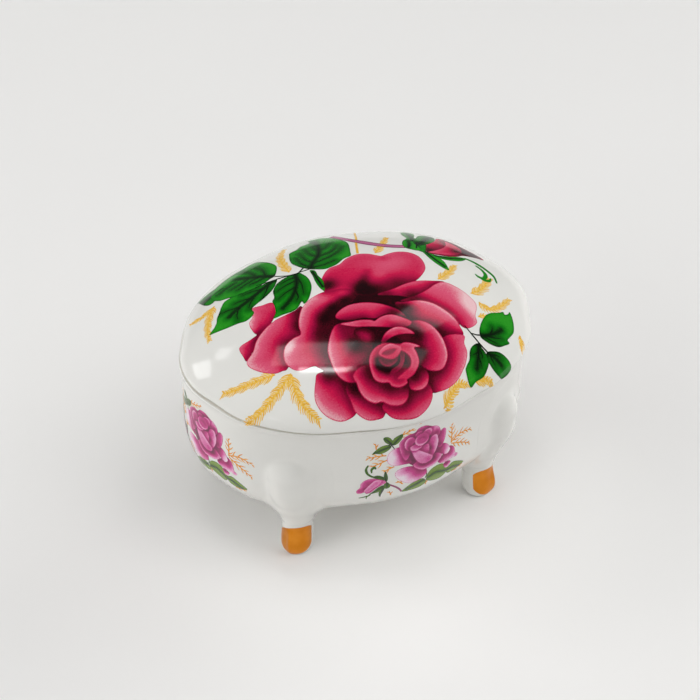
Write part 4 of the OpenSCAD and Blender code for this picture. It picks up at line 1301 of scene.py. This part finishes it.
POSY_FERNS = [
    ([(11.9, 36.2), (12.1, 39), (12, 42.6)], 1.1),
    ([(11.9, 36.3), (13.8, 37.3), (16.2, 37.7), (19.2, 36.8)], 1.2),
    ([(12, 35.9), (14, 35), (16.4, 33.8), (18.9, 32)], 1.1),
    ([(-4.6, 44.8), (-1.4, 45.8), (0.6, 46.8), (2.3, 47.6)], 0.9),
    ([(-7.6, 39.4), (-10, 39.6), (-13, 39.2)], 1.0),
    ([(-7.4, 37.8), (-9.4, 37), (-11.6, 36.2)], 1.1),
    ([(-5.4, 35), (-6.8, 34.6), (-8.4, 33.8)], 0.9),
    ([(-10.3, 42), (-10.4, 43), (-10.5, 44)], 0.7),
    ([(-3, 28), (-3.8, 28.9), (-4.6, 29.6)], 0.7),
    ([(-6, 23.8), (-6.3, 25), (-6.7, 26.2)], 0.7),
    ([(4.2, 24.2), (4, 25.4), (4.4, 26.6)], 0.6),
    ([(13, 24.2), (14.8, 24.8), (16.8, 25.4)], 0.8),
]
WALL_STEP = 0.2
POSIES = {                      # node, where its canvas starts, and how far the posy sits along and up it
    "decal_front": (math.radians(270), 0, 0),
    "decal_rear": (math.radians(90), 0, 0),
    "decal_left_end": (math.radians(180), 6.5, -2),
    "decal_right_end": (math.radians(0), 6.5, -2),
}


def moved(face_at, along_wall, up):
    return lambda a, b: face_at(a + along_wall, b + up)


posy_layers = {
    "ferns": (fronds(POSY_FERNS, 1.7, 0.3, 1.3, 2.0), 0.03, POSY_FERN_INK),
    "bud_stem": (strokes(POSY_STEMS), 0.035, STEM_INK),
    "leaves": (painted(POSY_LEAVES, WALL_STEP, paint_leaves, POSY_SIZE), 0.035, POSY_LEAF_INK),
    "tendrils": (strokes(POSY_TENDRILS), 0.037, POSY_LEAF_INK),
    "veins": (veins(POSY_LEAVES, 0.2), 0.045, VEIN_INK),
    "twigs": (strokes(POSY_TWIGS), 0.047, VEIN_INK),
    "bud": (painted(POSY_BUD, WALL_STEP, paint_bloom, POSY_SIZE), 0.05, POSY_INK),
    "rose": (painted(POSY, WALL_STEP, paint_bloom, POSY_SIZE), 0.055, POSY_INK),
}
for node, (start, along_wall, up) in POSIES.items():
    face_at = moved(wall_face(start), along_wall, up)
    for layer, (drawn, lift, ink) in posy_layers.items():
        piece = add_film(f"{node.replace('decal', 'posy')}_{layer}", face_at, drawn, lift, ink)
        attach(piece, "base")
        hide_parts(node)


# ---- Gilded toes -----------------------------------------------------------------------------------------

# Outline of the gilding: degrees round the toe, towards the box's long side, and height
TOE = [(-66, 6.4), (-40, 8.9), (-12, 10.3), (14, 11.2), (45, 11.4), (72, 10.8), (92, 9.2), (100, 7),
       (94, 4.4), (72, 2.2), (37, 1.1), (0, 0.6), (-38, 0.7), (-60, 2.4), (-68, 4.6)]
DEGREES_PER_MM = 13.0           # round the toe
TOE_CANVAS = (-7, 0), (7, 12)   # it cuts the outline off at about 90 degrees
TOE_STEP = 0.2


def toe_film(flip):
    """Lustre of a toe; flip is -1 on a mirrored foot."""
    outline = curve(np.array(TOE) / (DEGREES_PER_MM, 1))

    def paint(p):
        return np.zeros(len(p)), inside_distance(p * (flip, 1), outline)

    return clipped_grid(*TOE_CANVAS, TOE_STEP, paint)


def toe_face(sides):
    def face(a, b):
        point = foot_point(FOOT_DIRECTION, sides[0] * sides[1] * np.radians(a * DEGREES_PER_MM), b)
        return point * (*sides, 1)

    return face


for place, sides in FOOT_SIDES.items():
    drawn = toe_film(sides[0] * sides[1])
    piece = add_film(f"toe_gilding_{place}_lustre", toe_face(sides), drawn, 0.05, gold)
    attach(piece, "base")
    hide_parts(f"toe_gilding_{place}")


# ---- Floor, light and camera -----------------------------------------------------------------------------

def floor_paper():
    material, nodes, links, shader = new_material("floor")
    cloud = noise(nodes, links, 3, 2.0)
    mottle(nodes, links, shader, cloud, "#F5F4F2", "#F8F7F5")
    shader.inputs["Roughness"].default_value = 0.55
    return material


def add_floor(size):
    half = size / 2 / MM
    points = [(-half, -half, 0), (half, -half, 0), (half, half, 0), (-half, half, 0)]
    floor = add_mesh("floor", points, [(0, 1, 2, 3)], [floor_paper()])


LIGHT_TARGET = Vector((0, 0, 0.045))


def add_light(name, place, size, radiance, turn, mirrored=True):
    """Rectangular light of an even radiance. One that is not mirrored makes no reflection in the glaze."""
    light = bpy.data.lights.new(name, "AREA")
    light.shape = "RECTANGLE"
    light.size, light.size_y = size
    light.energy = radiance * math.pi * size[0] * size[1]
    lamp = bpy.data.objects.new(name, light)
    lamp.location = place
    lamp.rotation_mode = "QUATERNION"
    lamp.rotation_quaternion = turn
    lamp.visible_glossy = mirrored
    bpy.context.scene.collection.objects.link(lamp)


def add_softbox(name, azimuth, elevation, distance, size, radiance, mirrored=True):
    """Light that faces the box. Azimuth 0 is in front, and positive to its right."""
    a, e = math.radians(azimuth), math.radians(elevation)
    toward = Vector((math.sin(a) * math.cos(e), -math.cos(a) * math.cos(e), math.sin(e)))
    place = LIGHT_TARGET + toward * distance
    add_light(name, place, size, radiance, toward.to_track_quat("Z", "Y"), mirrored)


def add_ceiling_strip(name, middle, half, radiance, height=1.4, slant=-34):
    """Light that lies flat overhead. Its middle and half size are shares of its height over the box."""
    place = LIGHT_TARGET + Vector((middle[0], middle[1], 1)) * height
    size = (2 * half[0] * height, 2 * half[1] * height)
    add_light(name, place, size, radiance, Euler((0, 0, math.radians(slant))).to_quaternion())


def add_world(horizon, zenith):
    """Dim surroundings, darkest overhead."""
    world = bpy.data.worlds.new("studio")
    world.use_nodes = True
    nodes, links = world.node_tree.nodes, world.node_tree.links
    direction = nodes.new("ShaderNodeTexCoord")
    split = nodes.new("ShaderNodeSeparateXYZ")
    links.new(direction.outputs["Generated"], split.inputs["Vector"])
    colours = [np.array([0.97, 0.985, 1.0]) * level for level in (horizon, zenith)]
    links.new(ramp(nodes, links, split.outputs["Z"], 0, 0.9, colours), nodes["Background"].inputs["Color"])
    bpy.context.scene.world = world


def add_camera(location, target, lens):
    data = bpy.data.cameras.new("camera")
    data.lens = lens
    data.sensor_width = 36
    data.clip_start, data.clip_end = 0.01, 20
    camera = bpy.data.objects.new("camera", data)
    camera.location = location
    camera.rotation_mode = "QUATERNION"
    camera.rotation_quaternion = (Vector(location) - Vector(target)).to_track_quat("Z", "Y")
    bpy.context.scene.collection.objects.link(camera)
    bpy.context.scene.camera = camera


add_floor(6.0)
add_ceiling_strip("veil_left", (-0.067, 0.326), (0.225, 0.12), 2.1)
add_ceiling_strip("veil_right", (0.307, 0.074), (0.225, 0.12), 1.0)
add_ceiling_strip("slit", (-0.05, 0.1), (0.15, 0.025), 13)
add_softbox("window_high", -143, 43, 1.3, (0.2, 0.18), 2.5)
add_softbox("window_low", -127, 26, 1.3, (0.42, 0.5), 3.5)
add_softbox("far_window", 126, 52, 1.3, (0.3, 0.3), 1.3)
add_softbox("lamp", -57, 30, 1.3, (0.12, 0.06), 6)
add_softbox("left_fill", -92, 20, 2.4, (2.25, 1.5), 2.15, False)
add_softbox("high_fill", -45, 60, 2.4, (1.35, 1.35), 1.6, False)
add_softbox("key", 45, 60, 2.4, (1.35, 1.35), 2.3, False)
add_softbox("low_fill", 50, 32, 2.4, (1.35, 1.05), 1.9, False)
add_softbox("right_fill", 100, 20, 2.4, (2.25, 1.5), 2.4, False)
add_world(0.14, 0.03)
add_camera((-0.11682, -0.27176, 0.29785), (-0.0012, 0.0005, 0.0425), 72)
bpy.context.scene.view_settings.view_transform = "Standard"
